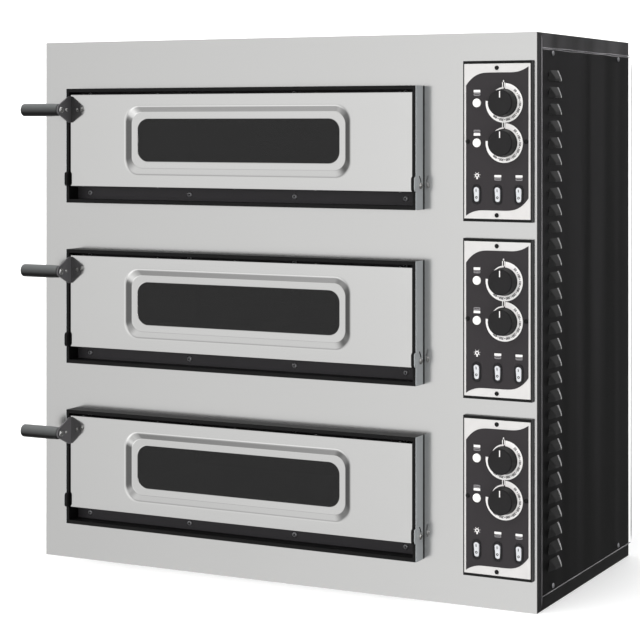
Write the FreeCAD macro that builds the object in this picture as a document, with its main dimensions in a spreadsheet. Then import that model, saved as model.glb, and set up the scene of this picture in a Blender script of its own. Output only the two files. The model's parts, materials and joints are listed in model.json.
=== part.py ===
"""Three-deck electric deck oven, drawn as a parametric FreeCAD document.

Millimetres. +Z is up, the doors face -Y and the controls are on the +X side. The origin is the
centre of the casing's underside. Each deck is laid out from its sill, the underside of its door
surround, and from the fascia's front plane.
"""
import FreeCAD, Part
import os
from types import SimpleNamespace
import Sketcher

DIMENSIONS = {
    # casing
    "case_width": 915, "case_depth": 454, "case_height": 898,
    "sheet": 1.2, "fascia_sheet": 1.5, "seam": 0.8,
    "front_fold": 21, "cover_fold": 24, "pan_fold": 21, "inward_fold": 15,
    "bulkhead_x": 290,
    # decks
    "upper_sill": 620, "deck_pitch": 277,
    "surround_x": -64, "surround_width": 662, "surround_height": 196.5, "surround_depth": 30,
    "lip": 6, "back_flange": 2,
    "surround_screw_pitch": 200, "foot_screw_rise": 16.5, "head_screw_rise": 186,
    "mouth_x": -63.5, "mouth_width": 620, "mouth_rise": 44, "mouth_height": 130,
    "chamber_rise": 10, "chamber_height": 170, "chamber_depth": 372,
    "stone_thickness": 15, "stone_depth": 362, "rail_width": 12,
    # heating elements
    "element_radius": 4, "element_bend": 35, "element_reach": 275, "element_inset": 24,
    "lower_element_rise": 20, "upper_element_rise": 172,
    "front_element_y": 110, "rear_element_y": 270,
    "lamp_y": 190, "lamp_rise": 120, "lamp_radius": 22, "lamp_stem": 14,
    # door
    "door_x": -63.5, "door_width": 648, "door_height": 158.3, "door_rise": 28.2,
    "door_front": 28.5, "door_fold": 12, "door_back": 6,
    "pivot_rise": 37.8, "pivot_front": 14, "pin_radius": 3, "running_gap": 0.05,
    "tub_gap": 7.5, "rim_width": 600, "rim_depth": 9,
    "rivet_pitch": 150, "rivet_radius": 1.6, "rivet_head": 1, "rivet_back": 6,
    "dish_x": -62.5, "dish_width": 427, "dish_rise": 48, "dish_height": 117,
    "dish_depth": 4.5, "dish_slope": 10,
    "window_width": 382, "window_rise": 72, "window_height": 72.3,
    "glass_overlap": 12, "glass_thickness": 4,
    # hinge ears on the surround
    "ear_front": 36, "ear_rise": 29, "ear_height": 24, "ear_round": 5,
    # handle
    "handle_rise": 159.8, "handle_front": 60, "plate_vertex": 80.5, "plate_shoulder": 34,
    "plate_foot_low": 138.2, "plate_foot_high": 183.5, "plate_thickness": 3,
    "plate_left": -388.4, "grip_end": -463, "grip_radius": 10.9,
    "bolt_radius": 2.5, "stud_front": 44.5,
    # control panel
    "panel_x": 394.6, "panel_width": 114.7, "panel_rise": -16.6, "panel_height": 250.7,
    "panel_depth": 6.5, "plate_margin": 2.3, "plate_margin_z": 4.6, "faceplate": 1,
    "plate_screw_x": 394.1, "plate_screw_rise": 108.4,
    "plate_screw_reach": 48.6, "plate_screw_climb": 114.6,
    "knob_x": 406.4, "knob_rise": 106.2, "knob_pitch": 62.3, "knob_front": 27,
    "knob_radius": 20, "skirt_radius": 22, "skirt_depth": 6, "knob_gap": 0.5,
    "spindle_radius": 3, "bush_radius": 5, "spindle_front": 22,
    "thermostat_width": 34, "thermostat_height": 40, "thermostat_depth": 30,
    "pilot_x": 361, "pilot_radius": 6.85, "pilot_body": 6,
    "rocker_rise": 26, "first_rocker_x": 360.4, "rocker_pitch": 35.1,
    "bezel_width": 15, "bezel_height": 31, "bezel_depth": 1.5,
    "switch_width": 13, "switch_height": 29.4, "rocker_width": 9.5, "rocker_height": 25,
    "rocker_pivot": 3, "rocker_tilt": 7,
    # side panel
    "louvre_front": 48, "louvre_length": 50, "louvre_height": 17, "louvre_bulge": 6.5,
    "louvre_lowest": 55, "louvre_pitch": 26.5, "louvre_count": 30,
    "screw_radius": 2, "screw_head": 4.2, "head_height": 2,
    "near_screw_y": 71, "far_screw_y": 396, "high_screw_z": 867, "low_screw_z": 29,
    "gland_x": 380, "gland_rise": 70, "gland_radius": 8, "gland_bore": 5,
    "terminal_x": 365, "terminal_width": 70, "terminal_depth": 26, "terminal_height": 20,
    "pole_pitch": 12.5, "pole_radius": 3.5,
}

DECKS = ("upper", "middle", "lower")
PLANES = {"XY": ("XY_Plane", 1), "XZ": ("XZ_Plane", -1), "YZ": ("YZ_Plane", 1)}
BOX_SIZES = (("Length", "x"), ("Width", "y"), ("Height", "z"))

doc = FreeCAD.newDocument("DeckOven")
nodes = []


class Size:
    """A length written in the sheet's names: arithmetic on it gives a longer expression."""

    def __init__(self, text):
        self.text = f"({text})" if isinstance(text, (int, float)) else str(text)

    def __str__(self):
        return self.text

    def joined(self, sign, other):
        return Size(f"({self} {sign} {Size(other)})")

    def __add__(self, other):
        return self.joined("+", other)

    def __sub__(self, other):
        return self.joined("-", other)

    def __mul__(self, other):
        return self.joined("*", other)

    def __truediv__(self, other):
        return self.joined("/", other)

    def __neg__(self):
        return Size(f"(0 - {self})")

    def __radd__(self, other):
        return Size(other) + self

    def __rsub__(self, other):
        return Size(other) - self


def make_sheet():
    """Write the driving dimensions to the sheet, and return their names as sizes."""
    sheet = doc.addObject("Spreadsheet::Sheet", "Dimensions")
    for row, (alias, number) in enumerate(DIMENSIONS.items(), start=1):
        sheet.set(f"A{row}", alias.replace("_", " "))
        sheet.set(f"B{row}", str(number))
        sheet.setAlias(f"B{row}", alias)
    doc.recompute()
    return SimpleNamespace(**{alias: Size(f"Dimensions.{alias}") for alias in DIMENSIONS})


d = make_sheet()


def value(size):
    """The number that a size comes to now."""
    return float(doc.Dimensions.evalExpression(str(Size(size))))


def node(label, piece):
    """Name a finished sub-part."""
    piece.Label = label
    nodes.append(piece)
    return piece


# ---------------------------------------------------------------- shared shapes

def box(name, x, y, z):
    """A block between the low and high size on each axis."""
    piece = doc.addObject("Part::Box", name)
    for (side, place), (low, high) in zip(BOX_SIZES, (x, y, z)):
        piece.setExpression(side, str(Size(high) - low))
        piece.setExpression(f"Placement.Base.{place}", str(Size(low)))
    return piece


def rod(name, axis, centre, span, radius):
    """A round bar along an axis; centre gives its place on the other two axes, in order."""
    piece = doc.addObject("Part::Cylinder", name)
    turn = {"X": (0, 1, 0, 90), "Y": (1, 0, 0, -90), "Z": (0, 0, 1, 0)}[axis]
    rotation = FreeCAD.Rotation(FreeCAD.Vector(*turn[:3]), turn[3])
    piece.Placement = FreeCAD.Placement(FreeCAD.Vector(), rotation)
    places = list(centre)
    places.insert("XYZ".index(axis), span[0])
    for letter, place in zip("xyz", places):
        piece.setExpression(f"Placement.Base.{letter}", str(Size(place)))
    piece.setExpression("Height", str(Size(span[1]) - span[0]))
    piece.setExpression("Radius", str(Size(radius)))
    return piece


def fuse(name, pieces):
    joined = doc.addObject("Part::MultiFuse", name)
    joined.Shapes = pieces
    return joined


def cut(name, base, tools):
    """The base with one tool, or several, taken away."""
    piece = doc.addObject("Part::Cut", name)
    piece.Base = base
    piece.Tool = tools[0] if len(tools) == 1 else fuse(f"{name}_tools", tools)
    return piece


def group(name, pieces):
    """Separate solids that share one node."""
    bundle = doc.addObject("Part::Compound", name)
    bundle.Links = pieces
    return bundle


def folded_pan(name, x, y, z):
    """A folded sheet pan, open towards the back."""
    hollow = box(f"{name}_hollow", (x[0] + d.sheet, x[1] - d.sheet), (y[0] + d.sheet, y[1] + 1),
                 (z[0] + d.sheet, z[1] - d.sheet))
    return cut(name, box(f"{name}_block", x, y, z), [hollow])


def pin_point(sketch, line, end, u, v):
    """Bind one end of a sketch line, or a circle's centre, to its place from the origin."""
    for kind, place in (("DistanceX", u), ("DistanceY", v)):
        rule = Sketcher.Constraint(kind, -1, 1, line, end, value(place))
        number = sketch.addConstraint(rule)
        sketch.setExpression(f"Constraints[{number}]", str(Size(place)))


def draw_outline(sketch, points):
    """Draw a closed outline through points whose places are sizes."""
    first = sketch.GeometryCount
    corners = [FreeCAD.Vector(value(u), value(v), 0) for u, v in points]
    for start, end in zip(corners, corners[1:] + corners[:1]):
        sketch.addGeometry(Part.LineSegment(start, end), False)
    for number, (u, v) in enumerate(points):
        following = first + (number + 1) % len(points)
        sketch.addConstraint(Sketcher.Constraint("Coincident", first + number, 2, following, 1))
        pin_point(sketch, first + number, 1, u, v)


def draw_circle(sketch, u, v, radius):
    centre = FreeCAD.Vector(value(u), value(v), 0)
    circle = sketch.addGeometry(Part.Circle(centre, FreeCAD.Vector(0, 0, 1), value(radius)), False)
    pin_point(sketch, circle, 3, u, v)
    number = sketch.addConstraint(Sketcher.Constraint("Radius", circle, value(radius)))
    sketch.setExpression(f"Constraints[{number}]", str(Size(radius)))


def new_sketch(body, name, plane, offset):
    """A sketch of the body's own, parallel to one of its origin planes."""
    role, direction = PLANES[plane]
    origin_plane = next(item for item in body.Origin.OriginFeatures if item.Role == role)
    sketch = body.newObject("Sketcher::SketchObject", name)
    sketch.AttachmentSupport = [(origin_plane, "")]
    sketch.MapMode = "FlatFace"
    sketch.setExpression("AttachmentOffset.Base.z", str(Size(offset) * direction))
    return sketch


def plate(name, plane, span, outline, windows=(), holes=(), rounds=()):
    """Pad an outline, with windows and round holes in it, from the low to the high size.

    rounds holds (radius, corners): the corners of the outline or windows to round off.
    """
    body = doc.addObject("PartDesign::Body", name)
    start = span[1] if plane == "XZ" else span[0]
    sketch = new_sketch(body, f"{name}_sketch", plane, start)
    for points in (outline, *windows):
        draw_outline(sketch, points)
    for hole in holes:
        draw_circle(sketch, *hole)
    pad = body.newObject("PartDesign::Pad", f"{name}_pad")
    pad.Profile = sketch
    pad.setExpression("Length", str(Size(span[1]) - span[0]))
    for radius, corners in rounds:
        doc.recompute()
        last = body.Tip
        wanted = [(value(u), value(v)) for u, v in corners]
        fillet = body.newObject("PartDesign::Fillet", f"{name}_fillet")
        fillet.Base = (last, [f"Edge{n}" for n, edge in enumerate(last.Shape.Edges, start=1)
                              if stands_on(edge, plane, wanted)])
        fillet.setExpression("Radius", str(Size(radius)))
    return body


def stands_on(edge, plane, places):
    """Whether an edge runs square to the plane, through one of the places on it."""
    first, last = edge.Vertexes[0].Point, edge.Vertexes[-1].Point
    axes = {"XY": (0, 1), "XZ": (0, 2), "YZ": (1, 2)}[plane]
    near = [tuple(point[axis] for axis in axes) for point in (first, last)]
    return any(all(abs(a - b) < 1e-4 for point in near for a, b in zip(point, place))
               for place in places)


def rectangle(x, z):
    return [(x[0], z[0]), (x[1], z[0]), (x[1], z[1]), (x[0], z[1])]


def turned(name, axis, centre, profile):
    """Turn a profile of (radius, place along the axis) points into a round piece.

    The axis is X or Y, and centre gives the piece's place on the other two axes, in order.
    """
    body = doc.addObject("PartDesign::Body", name)
    sketch = new_sketch(body, f"{name}_sketch", "XY", 0)
    points = [(radius, along) if axis == "Y" else (along, radius) for radius, along in profile]
    draw_outline(sketch, points)
    spin = body.newObject("PartDesign::Revolution", f"{name}_spin")
    spin.Profile = sketch
    spin.ReferenceAxis = (sketch, ["V_Axis" if axis == "Y" else "H_Axis"])
    spin.Angle = 360
    for letter, place in zip("xz" if axis == "Y" else "yz", centre):
        body.setExpression(f"Placement.Base.{letter}", str(Size(place)))
    return body


def screw(name, axis, centre, seat, outward, length):
    """A pan-head screw seated on a surface; outward is the side its head is on, +1 or -1."""
    seat = Size(seat)
    spans = [sorted((0, outward), key=float), sorted((0, -outward), key=float)]
    head = [seat + d.head_height * end for end in spans[0]]
    shank = [seat + Size(length) * end for end in spans[1]]
    return fuse(name, [rod(f"{name}_head", axis, centre, head, d.screw_head),
                       rod(f"{name}_shank", axis, centre, shank, d.screw_radius)])


# ---------------------------------------------------------------- reference places

FACE = -d.case_depth / 2
BACK = d.case_depth / 2
SIDE = d.case_width / 2


def sill(deck):
    return d.upper_sill - d.deck_pitch * DECKS.index(deck)


def about(centre, width):
    return (centre - width / 2, centre + width / 2)


def rising(deck, rise, height):
    return (sill(deck) + rise, sill(deck) + rise + height)


def mouth(deck):
    """The chamber's mouth, as seen from the front."""
    return about(d.mouth_x, d.mouth_width), rising(deck, d.mouth_rise, d.mouth_height)


def surround_screw_places(deck):
    """Eight screws, along the foot and the head of each surround."""
    columns = [d.mouth_x + d.surround_screw_pitch * step for step in (-1.5, -0.5, 0.5, 1.5)]
    rows = [sill(deck) + d.foot_screw_rise, sill(deck) + d.head_screw_rise]
    return [(x, z) for z in rows for x in columns]


def faceplate_screw_places(deck):
    """Four screws, in the middle of each side of a faceplate."""
    x, z = d.plate_screw_x, sill(deck) + d.plate_screw_rise
    return [(x, z + d.plate_screw_climb), (x, z - d.plate_screw_climb),
            (x - d.plate_screw_reach, z), (x + d.plate_screw_reach, z)]


def side_screw_places():
    """One screw near each corner of a side panel."""
    return [(FACE + y, z) for y in (d.near_screw_y, d.far_screw_y)
            for z in (d.high_screw_z, d.low_screw_z)]


def knob_rises():
    return (d.knob_rise + d.knob_pitch, d.knob_rise)


def rocker_places():
    return [d.first_rocker_x + d.rocker_pitch * step for step in range(3)]


# ---------------------------------------------------------------- casing

def front_panel():
    """One stainless sheet, pierced for three chambers, three control panels and the screws."""
    windows, holes = [], []
    for deck in DECKS:
        windows.append(rectangle(*mouth(deck)))
        windows.append(rectangle(about(d.panel_x, d.panel_width - 14),
                                 rising(deck, d.panel_rise + 7, d.panel_height - 14)))
        holes += [(x, z, d.screw_radius) for x, z in surround_screw_places(deck)]
    outline = rectangle((-SIDE, SIDE), (Size(0), d.case_height))
    node("front_panel", plate("front_panel", "XZ", (FACE, FACE + d.fascia_sheet),
                              outline, windows, holes))


def front_frame():
    """A folded ring behind the fascia, turned inwards at its rear edge."""
    def ring(name, outer, thickness, y):
        edge = rectangle((-outer[0], outer[0]), (d.case_height - outer[1], outer[1]))
        inner = rectangle((thickness - outer[0], outer[0] - thickness),
                          (d.case_height - outer[1] + thickness, outer[1] - thickness))
        return plate(name, "XZ", y, edge, [inner])
    rear = FACE + d.front_fold
    band = ring("frame_band", (SIDE, d.case_height), d.sheet, (FACE + d.fascia_sheet, rear))
    fold = ring("frame_fold", (SIDE - d.sheet, d.case_height - d.sheet), d.inward_fold,
                (rear - d.sheet, rear))
    node("front_frame", fuse("front_frame", [band, fold]))


def side_panel(side, sign):
    """A flat side sheet; the one beside the controls has a column of pressed louvres."""
    name = f"side_panel_{side}"
    span = (SIDE - d.sheet, SIDE) if sign > 0 else (-SIDE, d.sheet - SIDE)
    y = (FACE + d.front_fold + d.seam, BACK)
    z = (d.pan_fold + d.seam, d.case_height - d.cover_fold - d.seam)
    holes = [(place_y, place_z, d.screw_radius) for place_y, place_z in side_screw_places()]
    body = plate(name, "YZ", span, rectangle(y, z), holes=holes)
    if sign > 0:
        add_louvres(body)
    node(name, body)


def add_louvres(body):
    """Press a hooded louvre, open at its foot, and repeat it up the panel."""
    near = FACE + d.louvre_front
    far = near + d.louvre_length
    foot = d.louvre_lowest
    hood_points = [(SIDE - d.sheet / 2, foot), (SIDE + d.louvre_bulge, foot),
                   (SIDE + d.louvre_bulge - 0.6, foot + d.louvre_height * 0.3),
                   (SIDE + d.louvre_bulge * 0.55, foot + d.louvre_height * 0.7),
                   (SIDE - d.sheet / 2, foot + d.louvre_height)]
    slot_points = [(SIDE - 3, foot - 0.01), (SIDE + d.louvre_bulge - d.sheet, foot - 0.01),
                   (SIDE + d.louvre_bulge - 0.6 - d.sheet, foot + d.louvre_height * 0.25),
                   (SIDE + d.louvre_bulge * 0.4 - d.sheet, foot + d.louvre_height * 0.65),
                   (SIDE - 3, foot + d.louvre_height * 0.8)]
    hood_sketch = new_sketch(body, "hood_sketch", "XZ", far)
    draw_outline(hood_sketch, hood_points)
    hood = body.newObject("PartDesign::Pad", "hood")
    hood.Profile = hood_sketch
    hood.setExpression("Length", str(d.louvre_length))
    slot_sketch = new_sketch(body, "slot_sketch", "XZ", far - d.sheet)
    draw_outline(slot_sketch, slot_points)
    slot = body.newObject("PartDesign::Pocket", "slot")
    slot.Profile = slot_sketch
    slot.Reversed = True
    slot.setExpression("Length", str(d.louvre_length - d.sheet * 2))
    doc.recompute()
    before = hood.Shape.Volume
    if slot.Shape.Volume > before - 1:
        raise RuntimeError("the louvre's slot cuts nothing")
    column = body.newObject("PartDesign::LinearPattern", "louvre_column")
    column.Originals = [hood, slot]
    upright = next(item for item in body.Origin.OriginFeatures if item.Role == "Z_Axis")
    column.Direction = (upright, [""])
    column.setExpression("Length", str(d.louvre_pitch * (d.louvre_count - 1)))
    column.setExpression("Occurrences", str(d.louvre_count))
    body.Tip = column


def covers():
    """The top cover and the bottom pan: folded sheets whose sides wrap round the side panels."""
    y = (FACE + d.front_fold, BACK)
    x = (-SIDE, SIDE)
    across = (d.sheet - SIDE, SIDE - d.sheet)
    beyond = (y[0] - 1, y[1] + 1)
    top = (d.case_height - d.cover_fold, d.case_height)
    foot = (Size(0), d.pan_fold)
    for name, z, hollow in (("top_cover", top, (top[0] - 1, top[1] - d.sheet)),
                            ("bottom_pan", foot, (d.sheet, foot[1] + 1))):
        block = box(f"{name}_block", x, y, z)
        node(name, cut(name, block, [box(f"{name}_hollow", across, beyond, hollow)]))


def inner_walls():
    """The back panel, and the bulkhead between the chambers and the controls."""
    z = (d.sheet, d.case_height - d.sheet)
    across = rectangle((d.sheet - SIDE, SIDE - d.sheet), z)
    entry = [(d.gland_x, d.gland_rise, d.gland_radius)]
    node("back_panel", plate("back_panel", "XZ", (BACK - d.sheet, BACK), across, holes=entry))
    node("bulkhead", box("bulkhead", (d.bulkhead_x, d.bulkhead_x + d.sheet),
                         (FACE + d.front_fold, BACK - d.sheet), z))


def electrics():
    """The supply cable's gland in the back panel, and the terminal block beside it."""
    thread, nut, bore = d.gland_radius, d.gland_radius + 5, d.gland_bore
    profile = [(bore, BACK - 7), (nut, BACK - 7), (nut, BACK - d.sheet), (thread, BACK - d.sheet),
               (thread, BACK), (nut, BACK), (nut, BACK + 5), (thread + 2, BACK + 7),
               (thread + 1, BACK + 16), (bore, BACK + 16)]
    node("cable_gland", turned("cable_gland", "Y", (d.gland_x, d.gland_rise), profile))
    y, top = BACK - 47, d.sheet + d.terminal_height
    base = box("terminal_base", about(d.terminal_x, d.terminal_width), about(y, d.terminal_depth),
               (d.sheet, top))
    poles = [rod("terminal_pole", "Z", (d.terminal_x + d.pole_pitch * step, y), (top - 8, top + 1),
                 d.pole_radius) for step in range(-2, 3)]
    node("terminal_block", cut("terminal_block", base, poles))


# ---------------------------------------------------------------- chambers

def chamber_liner(deck):
    """A sheet-steel box with rails for the stone, and holes for the elements and the lamp."""
    name = f"chamber_liner_{deck}"
    x = about(d.mouth_x, d.mouth_width)
    start = FACE + d.fascia_sheet
    y = (start, start + d.chamber_depth)
    z = rising(deck, d.chamber_rise, d.chamber_height)
    shell = box(f"{name}_shell", (x[0] - d.sheet, x[1] + d.sheet), (y[0], y[1] + d.sheet),
                (z[0] - d.sheet, z[1] + d.sheet))
    hollow = box(f"{name}_hollow", x, (y[0] - 1, y[1]), z)
    wall = (x[1] - 1, x[1] + d.sheet + 1)
    holes = [rod(f"{name}_hole", "X", place, wall, d.element_radius + 0.3)
             for place in element_places(deck)]
    lamp_place = (FACE + d.lamp_y, sill(deck) + d.lamp_rise)
    holes.append(rod(f"{name}_lamp_hole", "X", lamp_place, wall, d.lamp_stem))
    rail_z = (z[0], sill(deck) + d.mouth_rise - d.stone_thickness)
    rails = [box(f"{name}_rail", (low, low + d.rail_width), (y[0] + 4, y[1] - 4), rail_z)
             for low in (x[0], x[1] - d.rail_width)]
    for place in element_places(deck)[:4]:
        rails[1] = cut(f"{name}_notched_rail", rails[1],
                       [rod(f"{name}_notch", "X", place, (x[1] - d.rail_width - 1, x[1] + 1),
                            d.element_radius + 0.3)])
    open_shell = cut(f"{name}_open", shell, [hollow, *holes])
    node(name, fuse(name, [open_shell, *rails]))


def element_places(deck):
    """The (y, z) places of a chamber's element legs, the lower four first."""
    return [(FACE + centre + d.element_bend * side, sill(deck) + rise)
            for rise in (d.lower_element_rise, d.upper_element_rise)
            for centre in (d.front_element_y, d.rear_element_y)
            for side in (-1, 1)]


def hairpin(name, y, z):
    """A tubular heating element: two legs along X joined by a half-turn at the left."""
    bend_x = d.mouth_x - d.mouth_width / 2 + d.element_inset + d.element_bend
    legs = [rod(f"{name}_leg", "X", (y + d.element_bend * side, z), (bend_x, d.element_reach),
                d.element_radius) for side in (-1, 1)]
    bend = doc.addObject("Part::Torus", f"{name}_bend")
    bend.setExpression("Radius1", str(d.element_bend))
    bend.setExpression("Radius2", str(d.element_radius))
    bend.Angle3 = 180
    quarter_turn = FreeCAD.Rotation(FreeCAD.Vector(0, 0, 1), 90)
    bend.Placement = FreeCAD.Placement(FreeCAD.Vector(), quarter_turn)
    for letter, place in zip("xyz", (bend_x, y, z)):
        bend.setExpression(f"Placement.Base.{letter}", str(place))
    return fuse(name, [*legs, bend])


def elements():
    for label, rise in (("upper_elements", d.upper_element_rise),
                        ("lower_elements", d.lower_element_rise)):
        pins = [hairpin(f"{label}_{deck}", FACE + centre, sill(deck) + rise)
                for deck in DECKS for centre in (d.front_element_y, d.rear_element_y)]
        node(label, group(label, pins))


def baking_stones():
    """A refractory slab for each chamber, level with the foot of its mouth."""
    stones = []
    for deck in DECKS:
        top = sill(deck) + d.mouth_rise
        stones.append(box(f"stone_{deck}", about(d.mouth_x, d.mouth_width - 2),
                          (FACE + d.fascia_sheet + 4, FACE + d.fascia_sheet + 4 + d.stone_depth),
                          (top - d.stone_thickness, top)))
    node("baking_stones", group("baking_stones", stones))


def oven_lamps():
    """A round lamp on each chamber's right wall: a domed cover inside, its holder outside."""
    lamps = []
    for deck in DECKS:
        wall = d.mouth_x + d.mouth_width / 2
        profile = [(Size(0), wall - 11), (d.lamp_radius - 5, wall - 9), (d.lamp_radius, wall - 4),
                   (d.lamp_radius, wall), (d.lamp_stem, wall), (d.lamp_stem, wall + 22),
                   (Size(0), wall + 22)]
        lamps.append(turned(f"lamp_{deck}", "X", (FACE + d.lamp_y, sill(deck) + d.lamp_rise), profile))
    node("oven_lamps", group("oven_lamps", lamps))


def insulation():
    """Mineral wool packed round the three chambers, up to the right-hand walls."""
    left, right = about(d.mouth_x, d.mouth_width)
    start = FACE + d.fascia_sheet
    wool = box("wool", (17.5 - SIDE, right + d.sheet), (start + 4, start + d.chamber_depth + 45),
               (Size(20), d.case_height - 20))
    rooms = [box(f"room_{deck}", (left - d.sheet, right + d.sheet + 1),
                 (start, start + d.chamber_depth + d.sheet),
                 (sill(deck) + d.chamber_rise - d.sheet,
                  sill(deck) + d.chamber_rise + d.chamber_height + d.sheet)) for deck in DECKS]
    node("insulation", cut("insulation", wool, rooms))


# ---------------------------------------------------------------- door surrounds

def door_surround(deck):
    """A box frame round the door, with a flange on the fascia and two ears for the hinge."""
    name = f"door_surround_{deck}"
    x, z = about(d.surround_x, d.surround_width), rising(deck, 0, d.surround_height)
    inner_x = (x[0] + d.lip, x[1] - d.lip)
    inner_z = (z[0] + d.lip, z[1] - d.lip)
    frame = plate(f"{name}_frame", "XZ", (FACE - d.surround_depth, FACE),
                  rectangle(x, z), [rectangle(inner_x, inner_z)])
    holes = [(place_x, place_z, d.screw_radius) for place_x, place_z in surround_screw_places(deck)]
    flange = plate(f"{name}_flange", "XZ", (FACE - d.back_flange, FACE),
                   rectangle(inner_x, inner_z), [rectangle(*mouth(deck))], holes)
    ear_y = (FACE - d.ear_front, FACE - d.surround_depth + 4)
    ear_z = rising(deck, d.ear_rise, d.ear_height)
    ears = [plate(f"{name}_ear", "YZ", (low, low + d.lip), rectangle(ear_y, ear_z),
                  rounds=[(d.ear_round, [(ear_y[0], ear_z[0]), (ear_y[0], ear_z[1])])])
            for low in (x[0], x[1] - d.lip)]
    pivot = (FACE - d.pivot_front, sill(deck) + d.pivot_rise)
    bearing = rod(f"{name}_bearing", "X", pivot, (x[0] - 1, x[1] + 1), d.pin_radius + d.running_gap)
    tools = [bearing] + [lift_slot(f"{name}_slot", deck, outer, sign)
                         for outer, sign in ((x[0], 1), (x[1], -1))]
    node(name, cut(name, fuse(f"{name}_body", [frame, flange, *ears]), tools))


def lift_slot(name, deck, outer, sign):
    """The shallow slanted slot above each pivot, in the outside of the cheek."""
    top, foot, width, depth = 53.5, 43.5, 4.5, 1.6
    span = (outer - 1, outer + depth) if sign > 0 else (outer - depth, outer + 1)
    base = sill(deck)
    outline = [(FACE - 18.4, base + top), (FACE - 12.4, base + foot),
               (FACE - 12.4 + width, base + foot), (FACE - 18.4 + width, base + top)]
    return plate(name, "YZ", span, outline)


# ---------------------------------------------------------------- doors

def door_spans(deck):
    return about(d.door_x, d.door_width), rising(deck, d.door_rise, d.door_height)


def window_spans(deck, margin=0):
    x = about(d.dish_x, d.window_width + Size(margin) * 2)
    z = (sill(deck) + d.window_rise - margin, sill(deck) + d.window_rise + d.window_height + margin)
    return x, z


def dish(name, deck, front, growth):
    """The sloping-sided tray pressed round the window, as a solid frustum."""
    piece = doc.addObject("Part::Wedge", name)
    x, z = about(d.dish_x, d.dish_width + growth * 2), rising(deck, d.dish_rise, d.dish_height)
    faces = {"Xmin": x[0], "Xmax": x[1], "Zmin": z[0] - growth, "Zmax": z[1] + growth,
             "X2min": x[0] + d.dish_slope, "X2max": x[1] - d.dish_slope,
             "Z2min": z[0] - growth + d.dish_slope, "Z2max": z[1] + growth - d.dish_slope,
             "Ymin": front, "Ymax": front + d.dish_depth}
    for name_of_face, place in faces.items():
        piece.setExpression(name_of_face, str(place))
    return piece


def rivets(deck):
    """The rivets in the door's two long folds: each one's x, its fold's edge, and its outward side."""
    low, high = door_spans(deck)[1]
    return [(d.door_x + d.rivet_pitch * step, edge, outward)
            for edge, outward in ((low, -1), (high, 1)) for step in range(-2, 3)]


RIVET_Y = FACE - d.door_front + d.rivet_back


def rivet_part(name, rivet, start, end, radius):
    """A round length of a rivet, between two distances outward from its fold's edge."""
    x, edge, outward = rivet
    span = sorted((start * outward, end * outward))
    return rod(name, "Z", (x, RIVET_Y), [edge + step for step in span], radius)


def rivet_holes(name, deck):
    return [rivet_part(name, rivet, -5, 1, d.rivet_radius) for rivet in rivets(deck)]


def door_skin(deck):
    """The stainless outer skin: folded edges, and a pressed dish round the window."""
    name = f"door_skin_{deck}"
    x, z = door_spans(deck)
    front = FACE - d.door_front
    skin, fold = front + d.fascia_sheet, front + d.door_fold
    block = box(f"{name}_block", x, (front, fold), z)
    hollow = box(f"{name}_hollow", (x[0] + d.fascia_sheet, x[1] - d.fascia_sheet), (skin, fold + 1),
                 (z[0] + d.fascia_sheet, z[1] - d.fascia_sheet))
    shell = fuse(f"{name}_shell", [cut(f"{name}_pan", block, [hollow]),
                                   dish(f"{name}_dish_back", deck, skin, 1)])
    window_x, window_z = window_spans(deck)
    window = box(f"{name}_window", window_x, (front - 1, front + 10), window_z)
    pivot = (FACE - d.pivot_front, sill(deck) + d.pivot_rise)
    bearing = rod(f"{name}_bearing", "X", pivot, (x[0] - 1, x[1] + 1), d.pin_radius)
    tools = [dish(f"{name}_dish", deck, front, 0), window, bearing,
             *rivet_holes(f"{name}_hole", deck)]
    node(name, cut(name, shell, tools))


def door_liner(deck):
    """The inner pan: a flange whose rims are riveted in the skin's folds, a tub, and a glass frame."""
    name = f"door_liner_{deck}"
    x, z = door_spans(deck)
    front = FACE - d.door_front + d.fascia_sheet
    back = FACE - d.door_back
    edge = d.fascia_sheet + 0.3
    tub_x, tub_z = (x[0] + d.tub_gap, x[1] - d.tub_gap), (z[0] + d.tub_gap, z[1] - d.tub_gap)
    room_x = (tub_x[0] + d.sheet, tub_x[1] - d.sheet)
    room_z = (tub_z[0] + d.sheet, tub_z[1] - d.sheet)
    window_x, window_z = window_spans(deck)
    glass_back = front + d.dish_depth + d.glass_thickness
    flange = plate(f"{name}_flange", "XZ", (front, front + d.sheet),
                   rectangle((x[0] + edge, x[1] - edge), (z[0] + edge, z[1] - edge)),
                   [rectangle(room_x, room_z)])
    rims = [box(f"{name}_rim", about(d.door_x, d.rim_width), (front, front + d.rim_depth),
                (rim_low, rim_low + d.sheet)) for rim_low in (z[0] + edge, z[1] - edge - d.sheet)]
    tub = plate(f"{name}_tub", "XZ", (front, back), rectangle(tub_x, tub_z),
                [rectangle(room_x, room_z)])
    floor = plate(f"{name}_floor", "XZ", (back - d.sheet, back), rectangle(room_x, room_z),
                  [rectangle(window_x, window_z)])
    frame = plate(f"{name}_frame", "XZ", (glass_back, back), rectangle(*window_spans(deck, d.sheet)),
                  [rectangle(window_x, window_z)])
    pan = fuse(f"{name}_pan", [flange, *rims, tub, floor, frame])
    node(name, cut(name, pan, rivet_holes(f"{name}_hole", deck)))


def door_glass(deck):
    x, z = window_spans(deck, d.glass_overlap)
    front = FACE - d.door_front + d.fascia_sheet + d.dish_depth
    node(f"door_glass_{deck}", box(f"door_glass_{deck}", x, (front, front + d.glass_thickness), z))


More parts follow.
